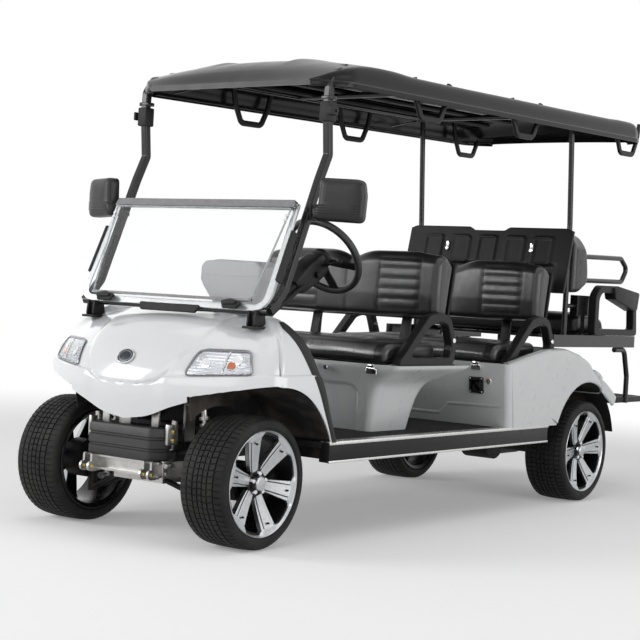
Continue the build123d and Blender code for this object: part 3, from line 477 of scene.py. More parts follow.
def dress_frame():
    """Gives every carried-over frame node its finish."""
    for node, obj in NODES.items():
        name = next((look for look, nodes in CAD_FINISH.items() if node in nodes.split()), None)
        if name is None:
            starts = {"tyre": "tyre_rubber", "rim_": "rim_black"}
            name = starts.get(node[:4], "vinyl")
        obj.data.materials.clear()
        obj.data.materials.append(FINISHES[name][0])


def baked(obj):
    """Turns an object's modifiers into plain mesh and removes them."""
    graph = bpy.context.evaluated_depsgraph_get()
    mesh = bpy.data.meshes.new_from_object(obj.evaluated_get(graph))
    obj.modifiers.clear()
    obj.data = mesh
    return obj


def placed(obj, body, stands_for, sharp):
    """Smooths a finished piece, puts it on its body and hides the frame nodes that it stands for."""
    obj.data.shade_smooth()
    obj.data.set_sharp_from_angle(angle=radians(sharp))
    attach(obj, body)
    if stands_for:
        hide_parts(*stands_for)
    return obj


def build(name, bm, look, body="cart", stands_for=(), wall=0.0, bevel=0.0, sharp=35, outward=True):
    """One finished piece of the cart: mesh, finish, body and the frame nodes that it stands for."""
    mesh = bpy.data.meshes.new(name)
    bmesh.ops.remove_doubles(bm, verts=bm.verts, dist=1e-6)
    if outward:
        bmesh.ops.recalc_face_normals(bm, faces=bm.faces)
    bm.to_mesh(mesh)
    bm.free()
    obj = bpy.data.objects.new(name, mesh)
    bpy.context.scene.collection.objects.link(obj)
    if wall:
        mod = obj.modifiers.new("wall", "SOLIDIFY")
        mod.thickness, mod.offset, mod.use_even_offset = abs(wall), -1 if wall > 0 else 1, False
    if bevel:
        mod = obj.modifiers.new("edge", "BEVEL")
        mod.width, mod.segments, mod.limit_method, mod.angle_limit = bevel, 2, "ANGLE", radians(40)
    if obj.modifiers:
        baked(obj)
    obj.data.materials.clear()
    obj.data.materials.append(FINISHES[look][0])
    for polygon in obj.data.polygons:
        polygon.material_index = 0
    return placed(obj, body, stands_for, sharp)


# ---- repeats, by Geometry Nodes ---------------------------------------------------------------
def port(key):
    """A socket's key: its number or its name."""
    return int(key) if key.isdigit() else key


def node_tree(name, sockets, nodes, given, wires):
    """A node tree from tables: its inputs, its nodes, what is set on them, and 'node.out > node.in' wires.

    It takes and gives Geometry, and ends in Realize Instances and Set Material.
    """
    tree = bpy.data.node_groups.new(name, "GeometryNodeTree")
    for label, kind in {"Geometry": "Geometry", **sockets, "Material": "Material"}.items():
        tree.interface.new_socket(label, in_out="INPUT", socket_type="NodeSocket" + kind)
    tree.interface.new_socket("Geometry", in_out="OUTPUT", socket_type="NodeSocketGeometry")
    kinds = {"in": "NodeGroupInput", "out": "NodeGroupOutput", **nodes, "real": "GeometryNodeRealizeInstances",
        "paint": "GeometryNodeSetMaterial"}
    made = {label: tree.nodes.new(kind) for label, kind in kinds.items()}
    for key, value in given.items():
        label, what = key.split(".")
        if hasattr(made[label], what):
            setattr(made[label], what, value)
        else:
            made[label].inputs[port(what)].default_value = value
    wires += ", real.0 > paint.Geometry, in.Material > paint.Material, paint.0 > out.Geometry"
    for wire in wires.split(","):
        (a, start), (b, end) = [side.strip().split(".") for side in wire.split(">")]
        tree.links.new(made[a].outputs[port(start)], made[b].inputs[port(end)])
    return tree


def ring_tree():
    """Copies the piece's own mesh evenly round an axle along X through Centre."""
    return node_tree(
        "Round an axle", {"Count": "Int", "Centre": "Vector"},
        {"spots": "GeometryNodePoints", "index": "GeometryNodeInputIndex", "share": "ShaderNodeMath",
         "angle": "ShaderNodeMath", "turn": "ShaderNodeCombineXYZ", "copies": "GeometryNodeInstanceOnPoints",
         "shift": "GeometryNodeTransform"},
        {"share.operation": "DIVIDE", "angle.operation": "MULTIPLY", "angle.1": 2 * pi},
        "in.Count > spots.Count, index.0 > share.0, in.Count > share.1, share.0 > angle.0, "
        "angle.0 > turn.X, spots.0 > copies.Points, in.Geometry > copies.Instance, "
        "turn.0 > copies.Rotation, copies.0 > shift.Geometry, in.Centre > shift.Translation, "
        "shift.0 > real.Geometry")


def row_tree():
    """Copies the piece's own mesh Count times, each a Step from the one before."""
    return node_tree(
        "In a row", {"Count": "Int", "Step": "Vector"},
        {"line": "GeometryNodeMeshLine", "copies": "GeometryNodeInstanceOnPoints"}, {},
        "in.Count > line.Count, in.Step > line.Offset, line.0 > copies.Points, "
        "in.Geometry > copies.Instance, copies.0 > real.Geometry")


def tube_tree():
    """Turns the piece's polyline into a round tube with bent corners."""
    return node_tree(
        "Bent tube", {"Radius": "Float", "Bend": "Float", "Sides": "Int"},
        {"line": "GeometryNodeMeshToCurve", "bend": "GeometryNodeFilletCurve",
         "ring": "GeometryNodeCurvePrimitiveCircle", "skin": "GeometryNodeCurveToMesh"},
        {"bend.mode": "POLY", "bend.Count": 6, "bend.Limit Radius": True, "skin.Fill Caps": True},
        "in.Geometry > line.Mesh, line.0 > bend.Curve, in.Bend > bend.Radius, in.Radius > ring.Radius, "
        "in.Sides > ring.Resolution, bend.0 > skin.Curve, ring.0 > skin.Profile Curve, "
        "skin.0 > real.Geometry")


def stitch_tree():
    """Lays short stitches along the piece's polyline, each Gap from the next."""
    return node_tree(
        "Stitches", {"Gap": "Float", "Length": "Float", "Radius": "Float"},
        {"line": "GeometryNodeMeshToCurve", "spots": "GeometryNodeCurveToPoints",
         "thread": "GeometryNodeMeshCylinder", "copies": "GeometryNodeInstanceOnPoints",
         "aim": "FunctionNodeAlignRotationToVector"},
        {"spots.mode": "LENGTH", "thread.Vertices": 5, "aim.axis": "Z"},
        "in.Geometry > line.Mesh, line.0 > spots.Curve, in.Gap > spots.Length, in.Length > thread.Depth, "
        "in.Radius > thread.Radius, spots.Points > copies.Points, thread.Mesh > copies.Instance, "
        "spots.Tangent > aim.Vector, aim.0 > copies.Rotation, copies.0 > real.Geometry")


TREES = {}


def repeated(name, bm, look, kind, values, body="cart", stands_for=(), sharp=35):
    """A piece whose mesh or path is worked on by one of the node trees, then made plain mesh."""
    if kind not in TREES:
        TREES[kind] = {"ring": ring_tree, "row": row_tree, "tube": tube_tree, "stitch": stitch_tree}[kind]()
    mesh = bpy.data.meshes.new(name)
    bm.to_mesh(mesh)
    bm.free()
    obj = bpy.data.objects.new(name, mesh)
    bpy.context.scene.collection.objects.link(obj)
    mod = obj.modifiers.new(kind, "NODES")
    mod.node_group = TREES[kind]
    material = FINISHES[look][0]
    for item in TREES[kind].interface.items_tree:
        if item.in_out == "INPUT" and item.name in values:
            mod[item.identifier] = values[item.name]
        elif item.in_out == "INPUT" and item.name == "Material":
            mod[item.identifier] = material
    baked(obj)
    bm = bmesh.new()
    bm.from_mesh(obj.data)
    bmesh.ops.recalc_face_normals(bm, faces=bm.faces)
    bm.to_mesh(obj.data)
    bm.free()
    return placed(obj, body, stands_for, sharp)


def paths(*lines):
    """Polylines as a mesh of edges."""
    bm = bmesh.new()
    for line in lines:
        verts = [bm.verts.new(p) for p in line]
        for a, b in zip(verts, verts[1:]):
            bm.edges.new((a, b))
    return bm


def tubes(name, lines, radius, look, bend=0.04, body="cart", stands_for=(), sides=14):
    return repeated(name, paths(*lines), look, "tube", {"Radius": radius, "Bend": bend, "Sides": sides}, body,
        stands_for)


# ---- stage ---------------------------------------------------------------------------------
def area_lamp(name, spot, aim, width, height, power):
    light = bpy.data.lights.new(name, "AREA")
    light.shape, light.size, light.size_y, light.energy = "RECTANGLE", width, height, power
    obj = bpy.data.objects.new(name, light)
    obj.location = spot
    obj.rotation_euler = (Vector(aim) - Vector(spot)).to_track_quat("-Z", "Y").to_euler()
    bpy.context.scene.collection.objects.link(obj)


def background_rays(nodes, links):
    """1 for camera, glossy and transmission rays, else 0."""
    path = nodes.new("ShaderNodeLightPath")
    total = path.outputs["Is Camera Ray"]
    for ray in ("Is Glossy Ray", "Is Transmission Ray"):
        both = nodes.new("ShaderNodeMath")
        both.operation = "MAXIMUM"
        links.new(total, both.inputs[0])
        links.new(path.outputs[ray], both.inputs[1])
        total = both.outputs[0]
    return total


# name, place, what it is aimed at, width, height and full power in watts
LAMPS = (
    ("top_softbox", (0.5, -0.3, 5.2), (0, 0, 0.6), 5.0, 6.0, 230),
    ("front_softbox", (0.6, -7.0, 3.0), (0, -0.6, 0.7), 4.0, 3.0, 190),
    ("side_softbox", (7.0, -0.4, 2.2), (0, 0, 0.7), 6.0, 3.0, 520),
    ("far_softbox", (-6.5, 1.5, 3.2), (0, 0, 0.8), 6.0, 3.0, 110),
    ("sheen_softbox", (-4.4, -6.2, 3.0), (0, 0.2, 1.0), 3.2, 2.6, 620),
)
FLOOR_GLOW = 0.22            # light of the floor's own for camera, glossy and clear rays
FLOOR_FADE = (3.0, 7.0)      # metres from the middle between which it turns plain white


def make_stage(lamp_share, sky):
    scene = bpy.context.scene
    scene.view_settings.view_transform = "Standard"
    world = bpy.data.worlds.new("studio")
    scene.world = world
    world.use_nodes = True
    nodes, links = world.node_tree.nodes, world.node_tree.links
    plain = nodes["Background"]
    plain.inputs["Color"].default_value = (1, 1, 1, 1)
    plain.inputs["Strength"].default_value = sky
    white = nodes.new("ShaderNodeBackground")
    white.inputs["Color"].default_value = (1, 1, 1, 1)
    mix = nodes.new("ShaderNodeMixShader")
    links.new(background_rays(nodes, links), mix.inputs["Fac"])
    links.new(plain.outputs[0], mix.inputs[1])
    links.new(white.outputs[0], mix.inputs[2])
    links.new(mix.outputs[0], nodes["World Output"].inputs["Surface"])

    floor_mat = bpy.data.materials.new("studio_floor")
    floor_mat.use_nodes = True
    nodes, links = floor_mat.node_tree.nodes, floor_mat.node_tree.links
    bsdf = nodes["Principled BSDF"]
    bsdf.inputs["Base Color"].default_value = (0.9, 0.9, 0.9, 1)
    bsdf.inputs["Roughness"].default_value = 0.9
    bsdf.inputs["Specular IOR Level"].default_value = 0.0
    bsdf.inputs["Emission Color"].default_value = (1, 1, 1, 1)
    glow = nodes.new("ShaderNodeMath")
    glow.operation = "MULTIPLY"
    glow.inputs[1].default_value = FLOOR_GLOW
    links.new(background_rays(nodes, links), glow.inputs[0])
    links.new(glow.outputs[0], bsdf.inputs["Emission Strength"])
    far = nodes.new("ShaderNodeEmission")
    where = nodes.new("ShaderNodeTexCoord")
    length = nodes.new("ShaderNodeVectorMath")
    length.operation = "LENGTH"
    fade = nodes.new("ShaderNodeMapRange")
    fade.interpolation_type = "SMOOTHSTEP"
    fade.inputs["From Min"].default_value, fade.inputs["From Max"].default_value = FLOOR_FADE
    mix = nodes.new("ShaderNodeMixShader")
    links.new(where.outputs["Object"], length.inputs[0])
    links.new(length.outputs["Value"], fade.inputs["Value"])
    links.new(fade.outputs["Result"], mix.inputs["Fac"])
    links.new(bsdf.outputs[0], mix.inputs[1])
    links.new(far.outputs[0], mix.inputs[2])
    links.new(mix.outputs[0], nodes["Material Output"].inputs["Surface"])
    bm = bmesh.new()
    bmesh.ops.create_grid(bm, x_segments=2, y_segments=2, size=60)
    mesh = bpy.data.meshes.new("studio_floor")
    bm.to_mesh(mesh)
    bm.free()
    mesh.materials.append(floor_mat)
    floor = bpy.data.objects.new("studio_floor", mesh)
    scene.collection.objects.link(floor)

    for name, spot, aim, width, height, power in LAMPS:
        area_lamp(name, spot, aim, width, height, power * lamp_share)


def make_camera():
    """The camera's place and turn, in metres and radians, and its lens for a 36 mm sensor."""
    spot = Vector((4.12539, -6.1648, 0.99741))
    heading, pitch, roll = 2.20601612, -0.01927101, 0.054926
    ahead = Vector((cos(pitch) * cos(heading), cos(pitch) * sin(heading), sin(pitch)))
    level = ahead.cross(Vector((0, 0, 1))).normalized()
    up = level.cross(ahead)
    right = cos(roll) * level + sin(roll) * up
    above = -sin(roll) * level + cos(roll) * up
    data = bpy.data.cameras.new("camera")
    data.lens, data.sensor_width = 86.6, 36
    data.clip_end = 200
    obj = bpy.data.objects.new("camera", data)
    obj.matrix_world = Matrix.Translation(spot) @ Matrix((right, above, -ahead)).transposed().to_4x4()
    bpy.context.scene.collection.objects.link(obj)
    bpy.context.scene.camera = obj


# ---- hood ----------------------------------------------------------------------------------
# height, half width, where the side ends, shoulder x, shoulder y, nose y, rear edge y (y from the front axle)
HOOD = [
    (0.400, 0.600, 0.040, 0.535, -0.070, -0.200, 0.372),
    (0.470, 0.602, 0.040, 0.535, -0.070, -0.212, 0.338),
    (0.600, 0.602, 0.040, 0.532, -0.072, -0.240, 0.275),
    (0.712, 0.588, 0.050, 0.505, -0.055, -0.197, 0.222),
    (0.790, 0.560, 0.070, 0.450, -0.010, -0.115, 0.185),
    (0.845, 0.510, 0.100, 0.380, 0.050, -0.030, 0.158),
    (0.873, 0.468, 0.122, 0.310, 0.100, 0.045, 0.143),
    (0.886, 0.430, 0.132, 0.280, 0.128, 0.108, 0.139),
]
CHIN = [(0.0, 0.463), (0.12, 0.483), (0.235, 0.528), (0.46, 0.600), (0.62, 0.634)]     # x, height
PANEL = [(0.600, 0.0), (0.607, 0.13), (0.636, 0.187), (0.724, 0.248), (0.79, 0.277), (0.888, 0.29)]
LEDGE = [(0.15, 0.634), (0.19, 0.637), (0.37, 0.649), (0.544, 0.665), (0.6, 0.668)]
FRONT_ARCH, REAR_ARCH = 0.37, 0.35
PANEL_WALL = 0.005


def hood_plan(height, part, share):
    """A point of the hood's plan at a height: part 0 is the nose, 1 the corner, 2 the side."""
    half, side_y, sx, sy, nose, rear = along(HOOD, height)
    depth = sy - nose
    radius = (sx * sx + depth * depth) / (2 * depth)
    if part == 0:
        x = sx * share
        return x, nose + radius - sqrt(radius * radius - x * x)
    lean = sx / radius
    start, end = Vector((sx, sy)), Vector((half, side_y))
    if part == 1:
        reach = (end - start).length * 0.42
        a = start + Vector((sqrt(1 - lean * lean), lean)) * reach
        b = end - Vector((0, 1)) * reach
        t = share
        p = start * (1 - t)**3 + a * 3 * t * (1 - t)**2 + b * 3 * t * t * (1 - t) + end * t**3
        return p.x, p.y
    return half, side_y + (rear - side_y) * share


def hood_relief(x, height, y):
    """How far the hood stands proud here: centre panel, its seam and the ledge under the lamps."""
    reach = along(PANEL, height)[0] if height > 0.6 else -0.02
    low = 0.598 + 0.038 * min(1, abs(x) / 0.187)**3.5
    s = min(reach - abs(x), height - low)
    proud = 0.006 * ease(s, -0.001, 0.012)
    deep = ease(height, 0.7, 0.6)
    proud -= (0.0065 * deep + 0.0015) * exp(-(s / 0.0055)**2)
    if abs(x) > 0.14:
        line = along(LEDGE, abs(x))[0]
        under = line - height
        band = ease(under, -0.003, 0.004) * (1 - ease(under, 0.03, 0.16))
        proud += 0.011 * band * ease(abs(x), 0.15, 0.22) * (1 - 0.5 * ease(y, 0.1, 0.3))
    return proud


def hood_surface(columns=(46, 10, 26), rows=86):
    spots = [(0, i / columns[0]) for i in range(columns[0])]
    spots += [(1, i / columns[1]) for i in range(columns[1])]
    spots += [(2, i / columns[2]) for i in range(columns[2] + 1)]
    top = HOOD[-1][0]

    def column(part, share):
        x, y = hood_plan(0.62, part, share)
        low = along(CHIN, x)[0] if y < 0 else DECK
        return [hood_plan(low + (top - low) * k / rows, part, share) + (low + (top - low) * k / rows,)
            for k in range(rows + 1)]

    right = [column(part, share) for part, share in spots]
    out = []
    for i, line in enumerate(right):
        a, b = right[max(i - 1, 0)], right[min(i + 1, len(right) - 1)]
        row = []
        for k, (x, y, z) in enumerate(line):
            du = Vector(b[k]) - Vector(a[k])
            dv = Vector(line[min(k + 1, rows)]) - Vector(line[max(k - 1, 0)])
            n = du.cross(dv).normalized()
            if i == 0:
                n = Vector((0, n.y, n.z)).normalized()
            p = Vector((x, y, z)) + n * hood_relief(x, z, y)
            row.append((max(p.x, 0.0) if i else 0.0, FRONT + p.y, p.z))
        out.append(row)
    left = [[(-x, y, z) for x, y, z in row] for row in reversed(out[1:])]
    return grid(left + out)


def open_arch(bm, axle_y, radius, inner):
    """Opens a wheel arch in a sheet: faces inside the circle go, and its border is drawn onto the circle."""
    def reach(p):
        return hypot(p.y - axle_y, p.z - AXLE)

    gone = [f for f in bm.faces if abs(f.calc_center_median().x) > inner
        and reach(f.calc_center_median()) < radius]
    edge = {v for f in gone for v in f.verts}
    bmesh.ops.delete(bm, geom=gone, context="FACES")
    for v in edge:
        if v.is_valid and v.is_boundary and reach(v.co) < radius + 0.02 and abs(v.co.x) > inner + 0.02:
            share = radius / reach(v.co)
            v.co.y, v.co.z = axle_y + (v.co.y - axle_y) * share, AXLE + (v.co.z - AXLE) * share


def flare(tree, axle_y, radius, start, end, side, section, steps=60, body_x=BODY_HALF):
    """A lip round a wheel arch, laid on the panel; section is (away from the arch, outwards)."""
    rows = []
    for k in range(steps + 1):
        a = radians(start + (end - start) * k / steps)
        row = []
        for away, out in section:
            r = radius + away
            y, z = axle_y + r * cos(a), AXLE + r * sin(a)
            hit = tree.ray_cast(Vector((side * 0.9, y, z)), Vector((-side, 0, 0)))
            near = hit[0] and abs(hit[0].x) > body_x - 0.06
            x = hit[0].x if near else rows[-1][0][0] if rows else side * body_x
            row.append((x + side * out, y, z))
        rows.append(row)
    return rows


def make_hood():
    sheet = hood_surface()
    tree = surface_of(sheet)
    open_arch(sheet, FRONT, FRONT_ARCH, 0.3)
    build("hood_shell", sheet, "white_paint", stands_for=("cowl",), wall=PANEL_WALL, sharp=50)
    return tree


# ---- wheels --------------------------------------------------------------------------------
# where, body, side and turn of the spokes in degrees
WHEELS = [("front_left", "wheel_fl", 1, -13), ("front_right", "wheel_fr", -1, -20),
    ("rear_left", "wheel_rl", 1, 5), ("rear_right", "wheel_rr", -1, 12)]
TYRE_PROFILE = [(0.096, 0.191), (0.0975, 0.204), (0.1045, 0.208), (0.1085, 0.216), (0.1088, 0.226),
    (0.107, 0.236), (0.1015, 0.2435), (0.093, 0.2475), (0.072, 0.249), (0.036, 0.2496), (0.0, 0.2498)]
TREAD_PITCHES = 66
TREAD_ROOT, SHOULDER_ROOT = 0.2465, 0.236      # radii that the pads stand on
SHOULDER = 0.095                               # where the shoulder begins, across the tread


def tread_unit():
    """One pitch of the tread: shoulder lugs, two ribs and a zigzag middle rib."""
    step = 2 * pi / TREAD_PITCHES
    parts = []

    def pad(corners, top, low=TREAD_ROOT):
        """corners are (across, share of the pitch); the pad stands from low to top(across)."""
        bm = bmesh.new()
        lower, upper, small = [], [], []
        cu = sum(u for u, _ in corners) / len(corners)
        cs = sum(s for _, s in corners) / len(corners)
        for u, share in corners:
            a = step * share
            r = low if abs(u) < SHOULDER else SHOULDER_ROOT
            lower.append(bm.verts.new((u, r * sin(a), r * cos(a))))
            t = top(u)
            upper.append(bm.verts.new((u, (t - 0.0012) * sin(a), (t - 0.0012) * cos(a))))
            v, sh = u + (cu - u) * 0.09, share + (cs - share) * 0.09
            a2 = step * sh
            small.append(bm.verts.new((v, top(v) * sin(a2), top(v) * cos(a2))))
        n = len(corners)
        for ring_a, ring_b in ((lower, upper), (upper, small)):
            for i in range(n):
                bm.faces.new((ring_a[i], ring_a[(i + 1) % n], ring_b[(i + 1) % n], ring_b[i]))
        bm.faces.new(small)
        return bm

    def crown(u):
        return 0.2552 - 0.0035 * (abs(u) / 0.09)**3

    for side in (1, -1):
        parts.append(pad([(side * 0.0665, 0.06), (side * 0.094, 0.1), (side * 0.103, 0.14),
            (side * 0.103, 0.86), (side * 0.094, 0.82), (side * 0.0665, 0.9)],
            lambda u: crown(u) if abs(u) < SHOULDER else 0.2432))
        parts.append(pad([(side * 0.037, 0.03), (side * 0.061, 0.22), (side * 0.061, 1.1),
            (side * 0.037, 0.9)], crown))
        parts.append(pad([(side * 0.0135, 0.1), (side * 0.0315, -0.05), (side * 0.0315, 0.8),
            (side * 0.0135, 0.96)], crown))
    parts.append(pad([(-0.009, 0.02), (0.0, 0.22), (0.009, 0.02), (0.009, 0.86), (0.0, 1.06), (-0.009, 0.86)],
        crown))
    return join(*parts)


def lip_radius(angle, low, high, spokes):
    """Scalloped edge of the machined lip: deeper beside each spoke, thin between."""
    t = abs(((degrees(angle) * spokes / 360.0) + 0.5) % 1.0 - 0.5) * 2      # 0 at a spoke, 1 between
    return low + (high - low) * ease(t, 0.3, 0.62)


def plank(side, z_low, z_high, w_low, w_high, u_low, u_high, shift_low=0.0, shift_high=0.0, edge=0.0015):
    """A tapered bar from a low radius to a high one; its face leans outwards with the radius."""
    rows = []
    for k in range(9):
        t = k / 8
        z, w = z_low + (z_high - z_low) * t, w_low + (w_high - w_low) * t
        mid_x = shift_low + (shift_high - shift_low) * t
        face = u_low + (u_high - u_low) * t**1.3
        rows.append([(side * (face - 0.02), mid_x - w, z), (side * (face - edge), mid_x - w, z),
            (side * face, mid_x - w + edge, z), (side * face, mid_x + w - edge, z),
            (side * (face - edge), mid_x + w, z), (side * (face - 0.02), mid_x + w, z)])
    return grid(rows, around=True, caps=True)


def make_tyre(at, body, side, centre):
    """A tyre with its tread and the rings on its side wall."""
    profile = TYRE_PROFILE + [(-u, r) for u, r in reversed(TYRE_PROFILE[:-1])]
    build(f"tyre_body_{at}", lathe(profile, centre, side, steps=96), "tyre_rubber", body,
        stands_for=(f"tyre_{at}",), sharp=60)
    repeated(f"tread_{at}", tread_unit(), "tyre_rubber", "ring",
        {"Count": TREAD_PITCHES, "Centre": tuple(centre)}, body, sharp=30)
    rings = [lathe([(0.1082, r - 0.0012), (0.1092, r), (0.1082, r + 0.0012)], centre, side, steps=96)
        for r in (0.2135, 0.2275)]
    build(f"tyre_rings_{at}", join(*rings), "tyre_rubber", body, outward=False)


RIM_LIP = [(0.1015, 0.1985), (0.1055, 0.2025), (0.1035, 0.2045), (0.0955, 0.2035), (0.09, 0.19)]
SPOKE_FACE = (0.07, 0.1005)       # distance outwards of a spoke's face, at the hub and at the rim


def make_rim(at, body, side, centre, start, spokes):
    """A rim with its scalloped lip, spokes, hub, nuts and cap; the first spoke is at the angle start."""
    barrel = lathe([(0.0925, 0.1925), (0.0925, 0.186), (0.02, 0.18), (-0.09, 0.184), (-0.096, 0.192),
        (-0.104, 0.202), (-0.1045, 0.2), (-0.098, 0.186)], centre, side, steps=72)
    build(f"rim_barrel_{at}", barrel, "rim_black", body, stands_for=(f"rim_{at}",), wall=0.003)
    rows = []
    steps = 180
    for k in range(steps):
        a = 2 * pi * k / steps
        low = lip_radius(a - start, 0.176, 0.193, spokes)
        row = [(0.094, low), (0.099, low + 0.004), *RIM_LIP, (0.088, low)]
        rows.append([(centre.x + side * u, centre.y + r * cos(a), centre.z + r * sin(a)) for u, r in row])
    rows.append(rows[0])
    build(f"rim_lip_{at}", grid(rows, around=True), "machined", body, sharp=28)

    def ring(name, bm, look, count):
        repeated(f"{name}_{at}", bm, look, "ring", {"Count": count, "Centre": tuple(centre)}, body)

    def radial(*parts):
        """Turns pieces drawn with the radius along Z to the wheel's own angle."""
        return moved(join(*parts), Matrix.Rotation(-(start - pi / 2), 4, "X").inverted())

    hub_face, rim_face = SPOKE_FACE
    strips = [plank(side, 0.052, 0.188, 0.0022, 0.0075, hub_face - 0.003, rim_face - 0.0035, s * 0.0205,
        s * 0.033) for s in (1, -1)]
    plate = plank(side, 0.048, 0.19, 0.0155, 0.0235, hub_face, rim_face)
    ring("spoke_faces", radial(*strips, plate), "machined", spokes)
    back = plank(side, 0.045, 0.186, 0.0215, 0.0385, hub_face - 0.0065, rim_face - 0.0095)
    pin = rod_x(side * (rim_face - 0.006), side * (rim_face + 0.0006), 0, 0.16, 0.0042, 12)
    ring("spoke_backs", radial(back, pin), "rim_black", spokes)
    hub = lathe([(0.0, 0.055), (0.06, 0.058), (0.068, 0.054), (0.07, 0.046), (0.066, 0.04), (0.066, 0.0001)],
        centre, side, steps=48)
    build(f"hub_{at}", hub, "rim_black", body)
    ring("wheel_nuts", rod_x(side * 0.06, side * 0.086, 0, 0.038, 0.0095, 6, 0.0025), "chrome", 5)
    cap = rod_x(centre.x + side * 0.062, centre.x + side * 0.093, centre.y, centre.z, 0.029, 8, 0.004)
    build(f"hub_cap_{at}", cap, "machined", body, bevel=0.001)


def make_wheels(spokes):
    for at, body, side, turn in WHEELS:
        centre = middle("tyre_" + at)
        make_tyre(at, body, side, centre)
        make_rim(at, body, side, centre, radians(turn), spokes)


# ---- roof ----------------------------------------------------------------------------------
ROOF_FRONT, ROOF_REAR = place("roof")[0].y, place("roof")[1].y
ROOF_HALF = place("roof")[1].x
LIP_FRONT, LIP_REAR = 1.802, 1.884
# distance from the front edge, crown over the lip, shoulder height, shoulder share of the half width
ROOF_CROWN = [(0.0, 0.030, 0.028, 0.97), (0.06, 0.086, 0.062, 0.955), (0.16, 0.128, 0.092, 0.94),
    (0.28, 0.147, 0.106, 0.93), (0.45, 0.147, 0.108, 0.925), (0.62, 0.140, 0.100, 0.925),
    (1.5, 0.139, 0.100, 0.925), (2.45, 0.141, 0.102, 0.925), (2.65, 0.148, 0.106, 0.925),
    (2.76, 0.142, 0.100, 0.93), (2.82, 0.112, 0.078, 0.945), (2.86, 0.066, 0.048, 0.96)]


def lip_height(y):
    """Height of the roof's lower rim, which rises towards the rear."""
    return LIP_FRONT + (LIP_REAR - LIP_FRONT) * (y - ROOF_FRONT) / (ROOF_REAR - ROOF_FRONT)


def roof_row(y, columns=48):
    """Half a section of the roof, from the lip's foot over the shoulder to the middle."""
    at = y - ROOF_FRONT
    crown, shoulder, share = along(ROOF_CROWN, at)
    half = ROOF_HALF
    end = min(at, ROOF_REAR - y)
    if end < 0.16:
        half -= 0.16 - sqrt(max(0.0, 0.16**2 - (0.16 - end)**2))
        half = max(half, ROOF_HALF - 0.12)
    lip = lip_height(y)
    foot = [(half - 0.004, 0.0), (half, 0.004), (half, 0.02), (half - 0.003, 0.0245), (half - 0.007, 0.027)]
    over = []
    sx = half * share
    for k in range(7):
        t = k / 6
        a = t * pi / 2
        over.append((sx + (half - 0.008 - sx) * cos(a)**0.8, 0.03 + (shoulder - 0.03) * sin(a)**0.85))
    top = []
    for k in range(1, columns + 1):
        x = sx * (1 - k / columns)
        base = shoulder + (crown - shoulder) * (1 - (x / sx)**2.2)
        crease = 0.0
        fade = ease(at, 0.1, 0.24) * (1 - ease(at, 0.62, 1.05))
        crease += 0.01 * fade * ease(x, 0.155, 0.2) * (1 - ease(x, 0.2, 0.36))
        ribs = ease(at, 1.0, 1.2) * (1 - ease(at, 2.3, 2.45))
        crease += 0.005 * ribs * (ease(x, 0.1, 0.125) - ease(x, 0.215, 0.24) + ease(x, 0.3, 0.325) - ease(x,
            0.405, 0.43))
        top.append((x, base + crease))
    return [(x, y, lip + z) for x, z in foot + over + top]


ROOF_WALL = 0.005
ROOF_RIBS = (-0.36, -0.18, 0.0, 0.18, 0.36)


def make_roof():
    spots, y = [], ROOF_FRONT
    while y < ROOF_REAR - 0.004:
        spots.append(y)
        near = min(y - ROOF_FRONT, ROOF_REAR - y)
        y += 0.006 if near < 0.06 else 0.014 if near < 0.3 else 0.04
    spots.append(ROOF_REAR)
    rows = []
    for y in spots:
        right = roof_row(y)
        rows.append(right + [(-x, yy, z) for x, yy, z in reversed(right[:-1])])
    front, back = [[(x, y, lip_height(y) + (z - lip_height(y)) * 0.25) for x, y, z in row]
        for row in (rows[0], rows[-1])]
    sheet = grid([front] + rows + [back])
    build("roof_shell", sheet, "roof_gloss", stands_for=("roof",), wall=ROOF_WALL, sharp=32)
    # long ribs under the roof, and the turned-in rims beside them
    ribs = []
    for x in ROOF_RIBS:
        line = []
        for k in range(30):
            y = ROOF_FRONT + 0.25 + (ROOF_REAR - ROOF_FRONT - 0.45) * k / 29
            line.append((x, y, lip_height(y) + 0.094 + 0.02 * (1 - (x / 0.5)**2)))
        ribs.append(follow(line, [(-0.03, -0.004), (-0.022, -0.012), (0.022, -0.012), (0.03, -0.004),
            (0.02, 0.01), (-0.02, 0.01)]))
    build("roof_ribs", join(*ribs), "roof_under")
    rim = []
    for side in (1, -1):
        line = [(side * (ROOF_HALF - 0.028), y, lip_height(y) + 0.01)
            for y in [ROOF_FRONT + 0.14 + (ROOF_REAR - ROOF_FRONT - 0.28) * k / 20 for k in range(21)]]
        rim.append(follow(line, [(-0.012, -0.003), (0.012, -0.003), (0.012, 0.003), (-0.012, 0.003)]))
    build("roof_drip_rims", join(*rim), "roof_under")


# ---- lamps, badge and bumper ------------------------------------------------------------------
SKIN = 0.003     # lift of what is laid on the hood


def on_hood(tree, x, z, out=0.0):
    """The hood's point in front of (x, z), moved out along its normal."""
    hit = tree.ray_cast(Vector((x, FRONT - 0.6, z)), Vector((0, 1, 0)))
    return hit[0] + (hit[1] if hit[1].y < 0 else -hit[1]) * (out + SKIN)


LAMP_OUTLINE = [(0.279, 0.652), (0.3, 0.741), (0.33, 0.748), (0.47, 0.752), (0.487, 0.744), (0.516, 0.672),
    (0.506, 0.662), (0.3, 0.646)]


def lamp_face(tree, outline, side, levels):
    """A patch over the hood inside an outline; levels are (inset, height over the hood)."""
    rows = []
    for shrink, out in levels:
        rows.append([tuple(on_hood(tree, side * x, z, out))
            for x, z in (inset(outline, shrink) if shrink else outline)])
    return grid(rows, around=True)


